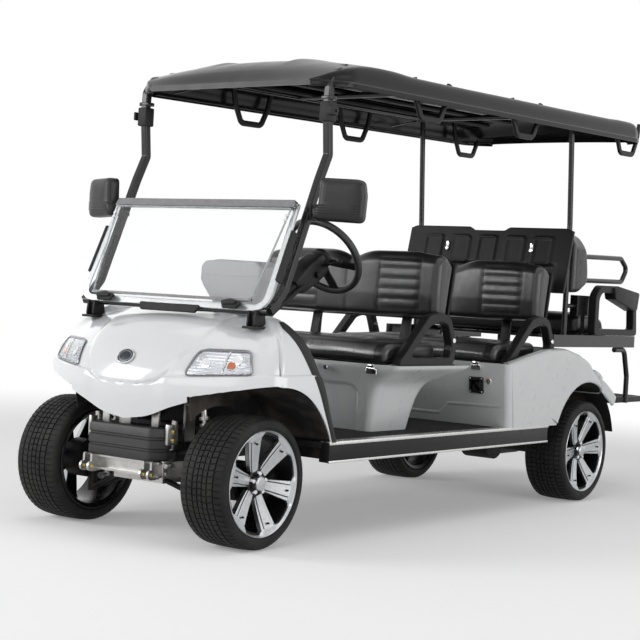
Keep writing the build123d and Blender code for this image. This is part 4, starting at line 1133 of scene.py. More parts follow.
def make_lamps(tree):
    outline = resample(rounded(LAMP_OUTLINE, [0.018, 0.02, 0.02, 0.02, 0.014, 0.01, 0.01, 0.014], 4), 0.006)

    def patch(side, shrink, rings, lift):
        """The hood inside the lamp's outline, in rings to its middle, raised by lift(share, z)."""
        cx, cz = centre_of(outline)
        rows = []
        for k in range(rings + 1):
            t = k / rings
            row = []
            for x, z in inset(outline, shrink):
                px, pz = x + (cx - x) * t * 0.999, z + (cz - z) * t * 0.999
                row.append(tuple(on_hood(tree, side * px, pz, lift(t, pz))))
            rows.append(row)
        return welded(grid(rows, around=True), 1e-4)

    def crowned(t, z):
        return 0.0015 + 0.004 * (1 - (1 - t)**2)

    def ribbed_bowl(t, z):
        return -0.002 + 0.001 * (1 - t) + 0.0012 * sin(2 * pi * z / 0.011)

    build("lamp_lenses", both_sides(lambda s: patch(s, 0.0015, 7, crowned)), "lens",
        stands_for=("headlights",), wall=0.002)
    build("lamp_reflectors", both_sides(lambda s: patch(s, 0.004, 25, ribbed_bowl)), "reflector", wall=0.001)
    bezel = [(0.0, 0.0), (-0.0015, 0.0035), (0.0015, 0.005), (0.0055, 0.0035), (0.006, -0.002)]
    build("lamp_bezels", both_sides(lambda s: lamp_face(tree, outline, s, bezel)), "smoked_edge", wall=0.0012)

    def box_on(side, x0, x1, z0, z1, low, high, taper=0.0):
        corner = [(x0, z0), (x1, z0), (x1 + taper, z1), (x0 + taper, z1)]
        ring = resample(rounded(corner, 0.005, 4), 0.004)
        return join(grid([[tuple(on_hood(tree, side * x, z, out)) for x, z in inset(ring, d)]
            for d, out in ((0, low), (0, high - 0.001), (0.001, high))], around=True, caps=True))

    build("lamp_dividers", both_sides(lambda s: box_on(s, 0.412, 0.417, 0.662, 0.744, 0.0, 0.004)), "chrome")
    build("lamp_turn_inserts", both_sides(lambda s: box_on(s, 0.426, 0.452, 0.682, 0.706, -0.001, 0.0026)),
        "amber_lens")
    bulbs = both_sides(lambda s: join(*[
        lathe_on(tree, s * x, z, 0.02) for x, z in ((0.345, 0.698), (0.452, 0.715))]))
    build("lamp_bulbs", bulbs, "chrome")


def lathe_on(tree, x, z, radius):
    """A small round boss on the hood."""
    base = on_hood(tree, x, z, 0.0)
    n = (on_hood(tree, x, z, 0.01) - base).normalized()
    turn = n.to_track_quat("Z", "Y").to_matrix()
    rows = []
    for r, h in ((radius, -0.001), (radius, 0.001), (radius * 0.72, 0.0022), (radius * 0.4, 0.0026),
            (0.0001, 0.0028)):
        rows.append([base + turn @ Vector((r * cos(2 * pi * k / 24), r * sin(2 * pi * k / 24), h))
            for k in range(24)])
    return welded(grid(rows, around=True), 1e-4)


def make_badge(tree, half_width, half_height):
    centre_z = middle("badge").z

    def ring(scale, out):
        return [tuple(on_hood(tree, half_width * scale * cos(a), centre_z + half_height * scale * sin(a), out))
            for a in [2 * pi * k / 48 for k in range(48)]]

    rim = grid([ring(1.0, -0.001), ring(1.0, 0.004), ring(0.96, 0.0062), ring(0.89, 0.0062),
        ring(0.86, 0.0035), ring(0.86, -0.001)], around=True)
    build("badge_rim", rim, "badge_rim", stands_for=("badge",), wall=0.0005)
    face = grid([ring(0.86, 0.003), ring(0.6, 0.0042), ring(0.3, 0.0048), ring(0.001, 0.005)], around=True)
    build("badge_face", face, "badge_dark", wall=0.001)
    inner = grid([ring(0.7, 0.0038), ring(0.7, 0.0052), ring(0.665, 0.0052), ring(0.665, 0.004)], around=True)
    build("badge_inner_ring", inner, "badge_rim", wall=0.0004)


BUMPER_TALL = 0.13
BUMPER_STRAPS = ((-0.15, 0.036), (-0.06, 0.06), (0.11, 0.036))     # x and width


def make_bumper():
    low, high = place("bumper")
    plan = [(-0.16, low.y), (0.16, low.y), (0.2, low.y + 0.06), (0.2, high.y), (-0.2, high.y),
        (-0.2, low.y + 0.06)]
    plan = rounded(plan, [0.02, 0.02, 0.02, 0.006, 0.006, 0.02], 4)
    z0, z1 = low.z, low.z + BUMPER_TALL
    # height and how far the face is drawn in: two long grooves between three bands
    face = [(z0, 0.01), (z0 + 0.004, 0.004), (z0 + 0.012, 0.0), (z0 + 0.036, 0.0), (z0 + 0.04, 0.005),
        (z0 + 0.046, 0.005), (z0 + 0.05, -0.001), (z0 + 0.08, -0.001), (z0 + 0.084, 0.005), (z0 + 0.09, 0.005),
        (z0 + 0.094, 0.0), (z1 - 0.012, 0.001), (z1 - 0.004, 0.005), (z1, 0.012)]
    rows = [[(x, y, z) for x, y in inset(plan, d)] for z, d in face]
    build("bumper_shell", grid(rows, around=True, caps=True), "bumper_black", stands_for=("bumper",), sharp=30)
    front = low.y + 0.045
    channel = [block((-0.155, front, z0 - 0.024), (0.215, front + 0.05, z0 - 0.006), 0.003)]
    for x in (-0.165, 0.185):
        for a, b in ((-0.017, -0.01), (0.01, 0.017)):
            channel.append(block((x + a, front - 0.006, z0 - 0.062), (x + b, front + 0.03, z0 + 0.004), 0.002))
        channel.append(rod_x(x - 0.024, x + 0.024, front + 0.012, z0 - 0.046, 0.008, 6, 0.001))
    for x, width in BUMPER_STRAPS:
        channel.append(block((x, low.y + 0.062, z1 - 0.01), (x + width, low.y + 0.074, high.z), 0.002))
    build("bumper_brackets", join(*channel), "zinc_steel")


# ---- padded pieces ---------------------------------------------------------------------------
def bench(outline, half, end, columns, shape=None):
    """A long pad: rings of the (y, z) outline along X with round ends; shape may move a point."""
    rows = []
    turns = 7
    for k in range(turns):
        a = (pi / 2) * k / turns
        rows.append((-half + end * (1 - cos(a)), end * (1 - sin(a))))
    inner = []
    span = 2 * (half - end)
    for k in range(columns + 1):
        inner.append((-half + end + span * k / columns, 0.0))
    stations = rows + inner + [(-x, d) for x, d in reversed(rows)]
    out = []
    for x, d in stations:
        ring = inset(outline, d) if d else outline
        out.append([tuple(shape(x, y, z)) if shape else (x, y, z) for y, z in ring])
    return grid(out, around=True, caps=True)


CLOTH_STIFFNESS, CLOTH_BENDING = 40, 4
SMOOTHINGS, KEPT = 8, 0.4      # passes over the moves, and what a point keeps of its own in each


def puff(obj, cap, pinned=None, pressure=4.0, frames=20):
    """Swells a pad with cloth pressure; pinned(point) keeps seams, and cap limits each point's move."""
    rest = [v.co.copy() for v in obj.data.vertices]
    group = obj.vertex_groups.new(name="seams")
    for v in obj.data.vertices:
        group.add([v.index], pinned(v.co) if pinned else 0.0, "REPLACE")
    mod = obj.modifiers.new("cloth", "CLOTH")
    settings = mod.settings
    settings.use_pressure, settings.uniform_pressure_force = True, pressure
    settings.effector_weights.gravity = 0
    settings.vertex_group_mass = "seams"
    settings.tension_stiffness = settings.compression_stiffness = CLOTH_STIFFNESS
    settings.bending_stiffness = CLOTH_BENDING
    settings.quality = 4
    mod.point_cache.frame_start, mod.point_cache.frame_end = 1, frames
    scene = bpy.context.scene
    for step in range(1, frames + 1):
        scene.frame_set(step)
    graph = bpy.context.evaluated_depsgraph_get()
    swollen = obj.evaluated_get(graph).to_mesh()
    moves = [swollen.vertices[i].co - rest[i] for i in range(len(rest))]
    obj.evaluated_get(graph).to_mesh_clear()
    obj.modifiers.clear()
    obj.vertex_groups.clear()
    moves = [move.normalized() * cap if move.length > cap else move for move in moves]
    near = [[] for _ in rest]
    for edge in obj.data.edges:
        a, b = edge.vertices
        near[a].append(b)
        near[b].append(a)
    for _ in range(SMOOTHINGS):
        moves = [move * KEPT + sum((moves[n] for n in near[i]), Vector()) * ((1 - KEPT) / len(near[i]))
            for i, move in enumerate(moves)]
    for v, start, move in zip(obj.data.vertices, rest, moves):
        v.co = start + move
    scene.frame_set(1)
    return obj


def padded(name, bm, node, body, cap, pinned):
    """A padded piece that stands for a soft frame node."""
    obj = build(name, bm, "vinyl", body, stands_for=(node,), sharp=180)
    puff(obj, cap, pinned)
    mod = obj.modifiers.new("smooth", "SUBSURF")
    mod.levels = mod.render_levels = 1
    baked(obj)
    obj.data.materials.clear()
    obj.data.materials.append(FINISHES["vinyl"][0])
    obj.data.shade_smooth()
    return obj


# x of the upright seams of a backrest: two pleated inserts between plain bolsters
INSERTS = [(-0.395, -0.175), (0.175, 0.395)]
SEAM_DEEP, SEAM_WIDE = 0.004, 0.006
SEAM_PINNED = 0.0055                    # points this near to a seam stay
PUFF, REAR_PUFF = 0.0045, 0.004         # furthest that a pad swells


def seam_lines(x, v, panels, rows):
    """Distance to the nearest seam: uprights of the panels, and rows across them."""
    best = 1.0
    for low, high in panels:
        inside = low - 0.004 < x < high + 0.004
        if rows[0] - 0.004 < v < rows[-1] + 0.004:
            best = min(best, abs(x - low), abs(x - high))
        if inside:
            best = min(best, min(abs(v - r) for r in rows))
    return best


def make_backrest(row, y0, body="cart"):
    high = place(f"backrest_{row}")[1]
    # outline of the pad in (y, z), with the front face first
    pad = shifted([(0.376, 0.905), (0.372, 1.0), (0.381, 1.152), (0.4, 1.186), (0.43, 1.198), (0.472, 1.188),
        (0.52, 1.146), (0.478, 0.899)], y0)
    ring = resample(rounded(pad, [0.03, 0.05, 0.04, 0.03, 0.03, 0.03, 0.02, 0.02], 5), 0.0115)
    seams = [0.932, 0.978, 1.024, 1.07, 1.116, 1.162]

    def shape(x, y, z):
        top = ease(z, 1.02, 1.19)
        dip = 0.02 * exp(-(x / 0.06)**2) * top
        lobe = 0.012 * (1 - ease(abs(abs(x) - 0.235), 0.1, 0.26)) * top
        z2 = z - dip - 0.012 * top + lobe
        ahead = ease(y0 + 0.46 - y, 0.0, 0.05)
        groove = exp(-(seam_lines(x, z, INSERTS, seams) / SEAM_WIDE)**2) * ahead
        middle_line = exp(-(x / 0.01)**2) * ahead * 0.6
        y2 = y + SEAM_DEEP * (groove + middle_line)
        return x, y2, z2

    def pinned(p):
        if p.y > y0 + 0.455:
            return 1.0
        return 1.0 if seam_lines(p.x, p.z + 0.004, INSERTS, seams) < SEAM_PINNED or abs(p.x) < 0.005 else 0.0

    half = high.x - 0.002
    pad_obj = padded(f"backrest_pad_{row}", bench(ring, half, 0.034, 86, shape), f"backrest_{row}", body, PUFF,
        pinned)
    lay_seams(f"backrest_seams_{row}", pad_obj, INSERTS, seams, (0, 1, 0), y0 + 0.2, body)
    return pad_obj


def lay_seams(name, pad, panels, rows, ahead, start, body):
    """Threads sunk in a pad's seams, with a row of stitches beside each upright."""
    tree = tree_over(pad)
    lines, sewn = [], []

    def thread(points, out=-0.0004):
        line = [seam_point(tree, x, v, ahead, start, out) for x, v in points]
        return [p for p in line if p]

    for low, high in panels:
        for v in rows:
            lines.append(thread([(low + (high - low) * k / 24, v) for k in range(25)]))
        heights = [rows[0] + (rows[-1] - rows[0]) * k / 30 for k in range(31)]
        for x, off in ((low, -0.006), (high, 0.006)):
            lines.append(thread([(x, v) for v in heights]))
            sewn.append(thread([(x + off, v) for v in heights], 0.0002))
    tubes(name, [l for l in lines if len(l) > 2], 0.0016, "seam_thread", bend=0.0, body=body, sides=6)
    repeated(name + "_stitches", paths(*[l for l in sewn if len(l) > 2]), "seam_thread", "stitch",
        {"Gap": 0.0075, "Length": 0.005, "Radius": 0.00055}, body)


def seam_point(tree, x, v, ahead, start, out):
    """A point of a seam: v is a height on an upright pad, or a Y place on a flat one."""
    if ahead[1]:
        hit = tree.ray_cast(Vector((x, start, v)), Vector(ahead))
    else:
        hit = tree.ray_cast(Vector((x, v, start)), Vector(ahead))
    return tuple(hit[0] - Vector(ahead) * out) if hit[0] else None


CUSHION_PANELS = [(-0.36, -0.055), (0.055, 0.36)]


def make_cushion(row, y0, body):
    high = place(f"cushion_{row}")[1]
    pad = shifted([(0.006, 0.7055), (-0.002, 0.742), (0.012, 0.782), (0.05, 0.797), (0.2, 0.796),
        (0.33, 0.801), (0.388, 0.802), (0.405, 0.78), (0.407, 0.7055)], y0)
    ring = resample(rounded(pad, [0.008, 0.04, 0.04, 0.05, 0.1, 0.1, 0.02, 0.02, 0.008], 5), 0.0125)
    seams = [y0 + 0.075, y0 + 0.155, y0 + 0.235, y0 + 0.315]

    def shape(x, y, z):
        on_top = ease(z, 0.772, 0.792)
        groove = exp(-(seam_lines(x, y, CUSHION_PANELS, seams) / SEAM_WIDE)**2) * on_top
        strap = ease(0.052 - abs(x), -0.004, 0.004) * ease(y0 + 0.05 - y, -0.02, 0.02)
        crown = 0.006 * (1 - (x / high.x)**4) * on_top
        return x, y + 0.003 * strap, z - SEAM_DEEP * groove + crown - 0.003

    def pinned(p):
        if p.z < 0.715:
            return 1.0
        return 1.0 if p.z > 0.77 and seam_lines(p.x, p.y, CUSHION_PANELS, seams) < SEAM_PINNED else 0.0

    obj = padded(f"cushion_pad_{row}", bench(ring, high.x - 0.002, 0.03, 80, shape), f"cushion_{row}", body,
        PUFF, pinned)
    lay_seams(f"cushion_seams_{row}", obj, CUSHION_PANELS, seams, (0, 0, -1), 0.95, body)
    # front panels between the strap and the ends, in a lighter copy of the vinyl: painted sheen of the front
    # light
    tree = tree_over(obj)
    panels = []
    for x0, x1 in ((0.062, 0.425), (-0.425, -0.062)):
        rows = []
        for i in range(25):
            x = x0 + (x1 - x0) * i / 24
            line = []
            for k in range(11):
                z = 0.722 + 0.058 * k / 10
                hit = tree.ray_cast(Vector((x, y0 - 0.2, z)), Vector((0, 1, 0)))
                line.append(tuple(hit[0] + Vector((0, -0.0012, 0))))
            rows.append(line)
        panels.append(grid(rows))
    panel = build(f"cushion_front_sheen_panels_{row}", join(*panels), "vinyl_painted_sheen", body, wall=0.001)
    # board under the cushion
    build(f"cushion_board_{row}", block((-high.x + 0.012, y0 + 0.004, 0.6955),
        (high.x - 0.012, y0 + 0.404, 0.7045), 0.003), "satin_black", body, stands_for=(f"seat_lid_{row}",))


def make_seats():
    for row, y0 in (("front", ROW_FRONT), ("mid", ROW_FRONT + ROW_PITCH)):
        make_cushion(row, y0, f"lid_{row}")
        make_backrest(row, y0)
        # back shell and the bars that carry it
        shell = shifted([(0.4863, 0.897), (0.5303, 1.148), (0.545, 1.14), (0.501, 0.89)], y0)
        back = slab(rounded(shell, 0.004, 2), -0.484, 0.484, 0.006)
        bars = [slab(shifted([(0.462, 0.695), (0.5, 0.695), (0.512, 0.87), (0.546, 1.06), (0.531, 1.06),
            (0.498, 0.874)], y0), *side_span(s, 0.23, 0.28), 0.004) for s in (1, -1)]
        build(f"back_shell_{row}", join(back, *bars), "satin_black", stands_for=(f"back_frame_{row}",))


# ---- windshield and display ----------------------------------------------------------------------
PANE_LOW, PANE_HIGH = (FRONT + 0.036, 0.945), (FRONT + 0.212, 1.333)
PANE_RUN = hypot(PANE_HIGH[0] - PANE_LOW[0], PANE_HIGH[1] - PANE_LOW[1])
PANE_UP = ((PANE_HIGH[0] - PANE_LOW[0]) / PANE_RUN, (PANE_HIGH[1] - PANE_LOW[1]) / PANE_RUN)


def on_pane(x, up, ahead):
    """A point by its distance up the lower pane and ahead of its rear face."""
    return (x, PANE_LOW[0] + PANE_UP[0] * up - PANE_UP[1] * ahead,
        PANE_LOW[1] + PANE_UP[1] * up + PANE_UP[0] * ahead)


def sheet(outline, low, high, edge=0.001):
    """A flat plate parallel to the windshield, from an outline of (x, up)."""
    levels = ((low, edge), (low + edge, 0), (high - edge, 0), (high, edge))
    return grid([[on_pane(x, up, at) for x, up in (inset(outline, d) if d else outline)] for at, d in levels],
        around=True, caps=True)


def hoop(outline, width, low, high):
    """The border of a sheet as a flat band this wide."""
    inner = inset(outline, width)
    rows = [[on_pane(x, up, at) for x, up in line]
        for line, at in ((outline, low), (outline, high), (inner, high), (inner, low))]
    return grid(rows + [rows[0]], around=True)


def make_windshield():
    lower = rounded([(-0.488, 0.418), (-0.498, -0.045), (0.498, -0.045), (0.488, 0.418)],
        [0.01, 0.075, 0.075, 0.01], 8)
    upper = rounded([(-0.466, 0.392), (-0.424, -0.012), (0.424, -0.012), (0.466, 0.392)],
        [0.006, 0.03, 0.03, 0.006], 5)
    build("windshield_panes", join(sheet(lower, 0.0, 0.005), sheet(upper, 0.017, 0.022)), "sheet_clear",
        stands_for=("windshield",))
    build("windshield_borders", join(hoop(lower, 0.026, -0.001, 0.006), hoop(upper, 0.005, 0.0165, 0.0225)),
        "sheet_edge")
    rail = [sheet([(-0.478, 0.394), (0.478, 0.394), (0.47, 0.426), (-0.47, 0.426)], -0.003, 0.026, 0.002),
        sheet([(-0.424, -0.016), (0.424, -0.016), (0.424, -0.006), (-0.424, -0.006)], 0.0165, 0.026, 0.001)]
    build("windshield_rails", join(*rail), "smoked_edge", stands_for=("windshield_trim",))
    dark = [sheet(rounded([(-0.15, -0.04), (0.17, -0.04), (0.155, -0.072), (-0.135, -0.072)], 0.006, 3), 0.004,
        0.014)]
    bolts = []
    for side in (1, -1):
        x = side * 0.335
        latch = [(x - 0.052, -0.022), (x - 0.006, -0.01), (x + 0.052, -0.024), (x + 0.034, -0.05),
            (x - 0.034, -0.052)]
        dark.append(sheet(rounded(latch, 0.006, 3), 0.022, 0.034, 0.002))
        dark.append(rod(on_pane(x - 0.03, -0.034, 0.036), on_pane(x + 0.03, -0.03, 0.036), 0.007, 12, 0.001))
        edge = [(side * 0.494, 0.085), (side * 0.506, 0.085), (side * 0.502, 0.3), (side * 0.49, 0.3)]
        dark.append(sheet(edge, -0.022, 0.012, 0.002))
        # clamp that holds the cross bar on the hood
        for x in (side * 0.412, side * 0.446):
            cheek = shifted([(0.006, 0.842), (0.014, 0.905), (0.026, 0.926), (0.054, 0.926), (0.066, 0.905),
                (0.078, 0.85)], FRONT)
            dark.append(slab(rounded(cheek, 0.012, 4), x - 0.004, x + 0.004, 0.001, 2))
        dark.append(block((side * 0.429 - 0.034, FRONT - 0.004, 0.836),
            (side * 0.429 + 0.034, FRONT + 0.092, 0.846), 0.003))
        dark.append(rod_x(side * 0.404, side * 0.454, FRONT + 0.04, 0.905, 0.021, 24, 0.002))
        bolts.append(rod_x(side * 0.452, side * 0.459, FRONT + 0.04, 0.905, 0.008, 6, 0.001))
        for up in (0.355, 0.375):
            bolts.append(rod(on_pane(side * 0.458, up - 0.02, 0.022), on_pane(side * 0.458, up - 0.02, 0.031),
                0.007, 16, 0.001))
    build("windshield_latches", join(*dark), "textured_black")
    build("windshield_bolts", join(*bolts), "chrome")


def make_display():
    face = [(0.087, 1.069), (0.106, 1.09), (0.176, 1.098), (0.36, 1.095), (0.388, 1.074), (0.393, 1.024),
        (0.372, 0.95), (0.36, 0.886), (0.16, 0.886), (0.15, 0.93), (0.103, 0.988), (0.086, 1.016)]
    low = FRONT + 0.1
    housing = slab(rounded(face, 0.012, 4), low, low + 0.12, 0.01, 4, axes="xzy")
    band = slab(rounded([(0.094, 1.04), (0.386, 1.04), (0.386, 1.034), (0.094, 1.034)], 0.002, 2),
        low - 0.0015, low + 0.002, 0.0005, 2, axes="xzy")
    build("display_housing", join(housing, band), "display_grey", stands_for=("dash_pod",))
    screen = rounded([(0.11, 0.975), (0.372, 0.975), (0.372, 1.062), (0.11, 1.062)], 0.012, 4)
    build("display_screen", slab(screen, low + 0.118, low + 0.1215, 0.001, 2, axes="xzy"), "badge_dark")


# ---- struts, handles and mirrors -----------------------------------------------------------------
def make_fittings():
    loops = []
    for side in (1, -1):
        for y in (FRONT + 1.08, FRONT + 1.92, FRONT + 3.034):
            x = side * (ROOF_HALF - 0.05)
            line = []
            for off, drop in ((-0.1425, -0.105), (-0.12, -0.02), (-0.078, 0.054), (-0.06, 0.062),
                    (0.06, 0.062), (0.078, 0.054), (0.12, -0.02), (0.1425, -0.105)):
                line.append((x, y + off, lip_height(y + off) - drop))
            loops.append(follow(resample(line, 0.012, closed=False),
                rounded([(-0.014, -0.008), (0.014, -0.008), (0.014, 0.008), (-0.014, 0.008)], 0.006, 3),
                up=(1, 0, 0)))
    build("grab_handle_loops", join(*loops), "satin_black", stands_for=("grab_handles",), sharp=50)
    # clamps, rods and clips on the front struts
    clamps, clips = [], []
    for side in (1, -1):
        x = side * (ROOF_HALF - 0.06)
        clamps.append(block((x - 0.024, FRONT + 0.322, 1.665), (x + 0.024, FRONT + 0.376, 1.745), 0.005))
        clamps.append(block((x + side * 0.022 - 0.012, FRONT + 0.318, 1.69),
            (x + side * 0.022 + 0.022 * side, FRONT + 0.36, 1.725), 0.003))
        clips.append(rod_x(x + side * 0.02, x + side * 0.05, FRONT + 0.345, 1.708, 0.007, 6, 0.001))
        clips.append(block((x - 0.026, FRONT + 0.33, 1.752), (x + 0.026, FRONT + 0.372, 1.768), 0.003))
    build("strut_clamps", join(*clamps), "textured_black")
    rods = [[(x, FRONT + 0.5, lip_height(FRONT + 0.5) + 0.02),
        (x * 0.93, FRONT + 0.74, lip_height(FRONT + 0.74) + 0.082)]
        for x in (ROOF_HALF - 0.075, 0.075 - ROOF_HALF)]
    rods += [[(x, y, lip_height(y) + 0.03), (x, y + 0.24, lip_height(y + 0.24) + 0.08)]
        for x in (ROOF_HALF - 0.075, 0.075 - ROOF_HALF) for y in (REAR - 0.32,)]
    clips += [rod(a, b, 0.004, 10) for a, b in rods]
    build("strut_clips", join(*clips), "coated_steel")


MIRROR_CENTRE = (0.632, FRONT + 0.263, 1.348)
MIRROR_TURN = radians(17.5)


def make_mirrors():
    centre_x, centre_y, centre_z = MIRROR_CENTRE
    turn = MIRROR_TURN
    outline = [(-0.078, 0.086), (0.096, 0.082), (0.106, 0.02), (0.1, -0.086), (-0.104, -0.08), (-0.104, -0.04),
        (-0.084, -0.02)]
    ring = resample(rounded(outline, [0.022, 0.03, 0.05, 0.026, 0.02, 0.012, 0.03], 6), 0.006)

    def spot(side, u, v, ahead):
        return (side * (centre_x + u * cos(turn) + ahead * sin(turn)),
            centre_y + u * sin(turn) - ahead * cos(turn), centre_z + v)

    def head(side):
        rows = []
        for share, ahead in ((0.0, -0.027), (0.9, -0.027), (0.97, -0.03), (1.0, -0.026), (1.0, 0.004),
                (0.975, 0.014), (0.92, 0.021), (0.8, 0.026), (0.6, 0.0295), (0.35, 0.031), (0.0, 0.0315)):
            rows.append([spot(side, u * share, v * share, ahead) for u, v in ring])
        return welded(grid(rows, around=True), 1e-5)

    build("mirror_heads", both_sides(head), "mirror_black", stands_for=("mirrors",), sharp=60)

    def ribs(side):
        bars = []
        for k in range(4):
            v = -0.022 - 0.0095 * k
            bars.append([spot(side, u, v, 0.0225 if abs(u) > 0.07 else 0.0275)
                for u in (-0.092, -0.085, -0.07, -0.03, 0.0, 0.03, 0.07, 0.084, 0.092)])
        return paths(*bars)

    for side, name in ((1, "left"), (-1, "right")):
        repeated(f"mirror_ribs_{name}", ribs(side), "mirror_black", "tube",
            {"Radius": 0.0032, "Bend": 0.0, "Sides": 8})
    glass = [(u * 0.88, v * 0.86) for u, v in ring]
    build("mirror_glasses", both_sides(lambda s: grid([[spot(s, u, v, at) for u, v in glass]
        for at in (-0.0295, -0.0308)], around=True, caps=True)), "mirror_glass")

    def arm(side):
        x = side * (ROOF_HALF - 0.048)
        return join(rod((x - side * 0.004, centre_y - 0.002, 1.3), spot(side, -0.085, -0.048, 0.0), 0.011, 16,
            0.001), block((x - 0.013, centre_y - 0.024, 1.268), (x + 0.013, centre_y + 0.02, 1.33), 0.004),
            moved(rod((0, 0, -0.016), (0, 0, 0.016), 0.017, 20, 0.006),
            Matrix.Translation(spot(side, -0.092, -0.046, 0.0))))

    build("mirror_arms", both_sides(arm), "satin_black")


# ---- steering --------------------------------------------------------------------------------
WHEEL_CENTRE = Vector((0.22, FRONT + 0.736, 1.144))
WHEEL_AXIS = Vector((0, cos(radians(35)), sin(radians(35))))
WHEEL_RISE = Vector((0, -WHEEL_AXIS.z, WHEEL_AXIS.y))


GRIP_REACH = 0.174


def on_wheel(radius, angle, out=0.0):
    """A point of the steering wheel by its radius, its angle from the driver's left, and its height."""
    a = radians(angle)
    return WHEEL_CENTRE + Vector((1, 0, 0)) * radius * cos(a) + WHEEL_RISE * radius * sin(a) + WHEEL_AXIS * out


def make_steering():
    grip = [on_wheel(GRIP_REACH, 360 * k / 72) for k in range(72)]
    section = [(0.0155 * cos(a), 0.0165 * sin(a)) for a in [2 * pi * k / 16 for k in range(16)]]
    rim = follow(grip, section, up=WHEEL_AXIS, closed=True)
    build("steering_grip", rim, "vinyl_grip", "steering", stands_for=("steering_wheel",))
    spokes = []
    for angle, width in ((-18, 0.017), (198, 0.017), (270, 0.021)):
        line = [on_wheel(r, angle, -0.02 + 0.018 * ease(r, 0.05, 0.165))
            for r in (0.03, 0.06, 0.09, 0.12, 0.145, 0.17)]
        spokes.append(follow(line, rounded([(-width, -0.005), (width, -0.005), (width, 0.005),
            (-width, 0.005)], 0.004, 3), up=WHEEL_AXIS))
    spokes.append(rod(WHEEL_CENTRE - WHEEL_AXIS * 0.034, WHEEL_CENTRE - WHEEL_AXIS * 0.004, 0.046, 40, 0.008))
    spokes.append(rod(WHEEL_CENTRE - WHEEL_AXIS * 0.006, WHEEL_CENTRE + WHEEL_AXIS * 0.006, 0.036, 40, 0.005))
    build("steering_spokes", join(*spokes), "satin_black", "steering")
    badge = rod(WHEEL_CENTRE + WHEEL_AXIS * 0.005, WHEEL_CENTRE + WHEEL_AXIS * 0.0075, 0.018, 32, 0.001)
    build("steering_cap", badge, "chrome", "steering")

    def down(distance, side=0.0, rise=0.0):
        return WHEEL_CENTRE - WHEEL_AXIS * distance + Vector((1, 0, 0)) * side + WHEEL_RISE * rise

    shroud = []
    for distance, wide, tall in ((0.0395, 0.03, 0.03), (0.04, 0.042, 0.04), (0.06, 0.047, 0.047),
            (0.15, 0.045, 0.05), (0.225, 0.036, 0.04), (0.245, 0.028, 0.03)):
        shroud.append([down(distance, x, v) for x, v in rounded([(-wide, -tall), (wide, -tall), (wide, tall),
            (-wide, tall)], 0.016, 4)])
    parts = [grid(shroud, around=True, caps=True), rod(down(0.235), down(0.7), 0.024, 24)]
    for side in (1, -1):
        parts.append(rod(down(0.075, side * 0.04), down(0.06, side * 0.12, 0.012), 0.0055, 12, 0.001))
        parts.append(rod(down(0.06, side * 0.112, 0.011), down(0.058, side * 0.138, 0.014), 0.009, 14, 0.003))
        parts.append(rod(down(0.215, side * 0.03, -0.01), (0.22 + side * 0.075, FRONT + 0.225, 0.845), 0.01,
            12))
    parts.append(rod(down(0.13, 0.045, -0.01), down(0.13, 0.062, -0.01), 0.014, 20, 0.002))
    column = join(*parts)
    build("steering_shroud", column, "satin_black", stands_for=("steering_column",), sharp=45)


# ---- pods, body and sills ---------------------------------------------------------------------
# height, half width, front edge and rear edge from the front row's own edge
POD = [(0.400, 0.398, 0.045, 0.350), (0.480, 0.405, 0.045, 0.375), (0.560, 0.418, 0.042, 0.405),
    (0.610, 0.440, 0.034, 0.440), (0.640, 0.480, 0.024, 0.500), (0.665, 0.525, 0.014, 0.565),
    (0.680, 0.548, 0.010, 0.600), (0.695, 0.555, 0.012, 0.614)]
RECESS_HALF, RECESS_TOP = 0.325, 0.602


def make_pods():
    y0 = ROW_FRONT - 0.002
    rows = []
    levels = 44
    for k in range(levels + 1):
        z = 0.4 + 0.295 * k / levels
        half, front, rear = along(POD, z)
        corner = 0.036
        ring = []
        for cx, cy, a0 in ((half - corner, front + corner, -90), (half - corner, rear - corner, 0),
                (corner - half, rear - corner, 90), (corner - half, front + corner, 180)):
            ring += [(cx + corner * cos(radians(a0 + 15 * i)), cy + corner * sin(radians(a0 + 15 * i)))
                for i in range(7)]
        ring += [(corner - half + (2 * half - 2 * corner) * i / 81, front) for i in range(1, 81)]
        row = []
        for x, y in ring:
            inside = min(RECESS_HALF - abs(x), RECESS_TOP - z)
            if inside > -0.01 and abs(x) < RECESS_HALF:
                far = hypot(max(0, abs(x) - RECESS_HALF + 0.05), max(0, z - RECESS_TOP + 0.05))
                inside = min(inside, 0.05 - far) if far > 0 else inside
            dent = 0.009 * ease(inside, -0.004, 0.007) if y < front + corner * 0.5 else 0.0
            crease = 0.0025 * exp(-((abs(x) - 0.375) / 0.006)**2) * (1 - ease(z, 0.56,
                0.6)) if y < front + 0.002 else 0.0
            row.append((x, y0 + y + dent - crease, z))
        rows.append(row)
    shell = grid(rows, around=True, caps=True)
    build("front_pod_shell", shell, "grey_paint", stands_for=("seat_pod_front",), sharp=60)


# top line of the quarter panels, from the rear axle: distance and height
QUARTER = [(-0.822, 0.706), (-0.407, 0.771), (-0.219, 0.775), (-0.073, 0.745), (0.032, 0.709), (0.135, 0.624),
    (0.203, 0.537), (0.24, 0.452)]
RECESS_REAR, SEAT_DECK, EDGE = -0.24, 0.6945, 0.032
BODY_HALF_REAR, BODY_LEAN, BODY_TALL = 0.6, 0.038, 0.306


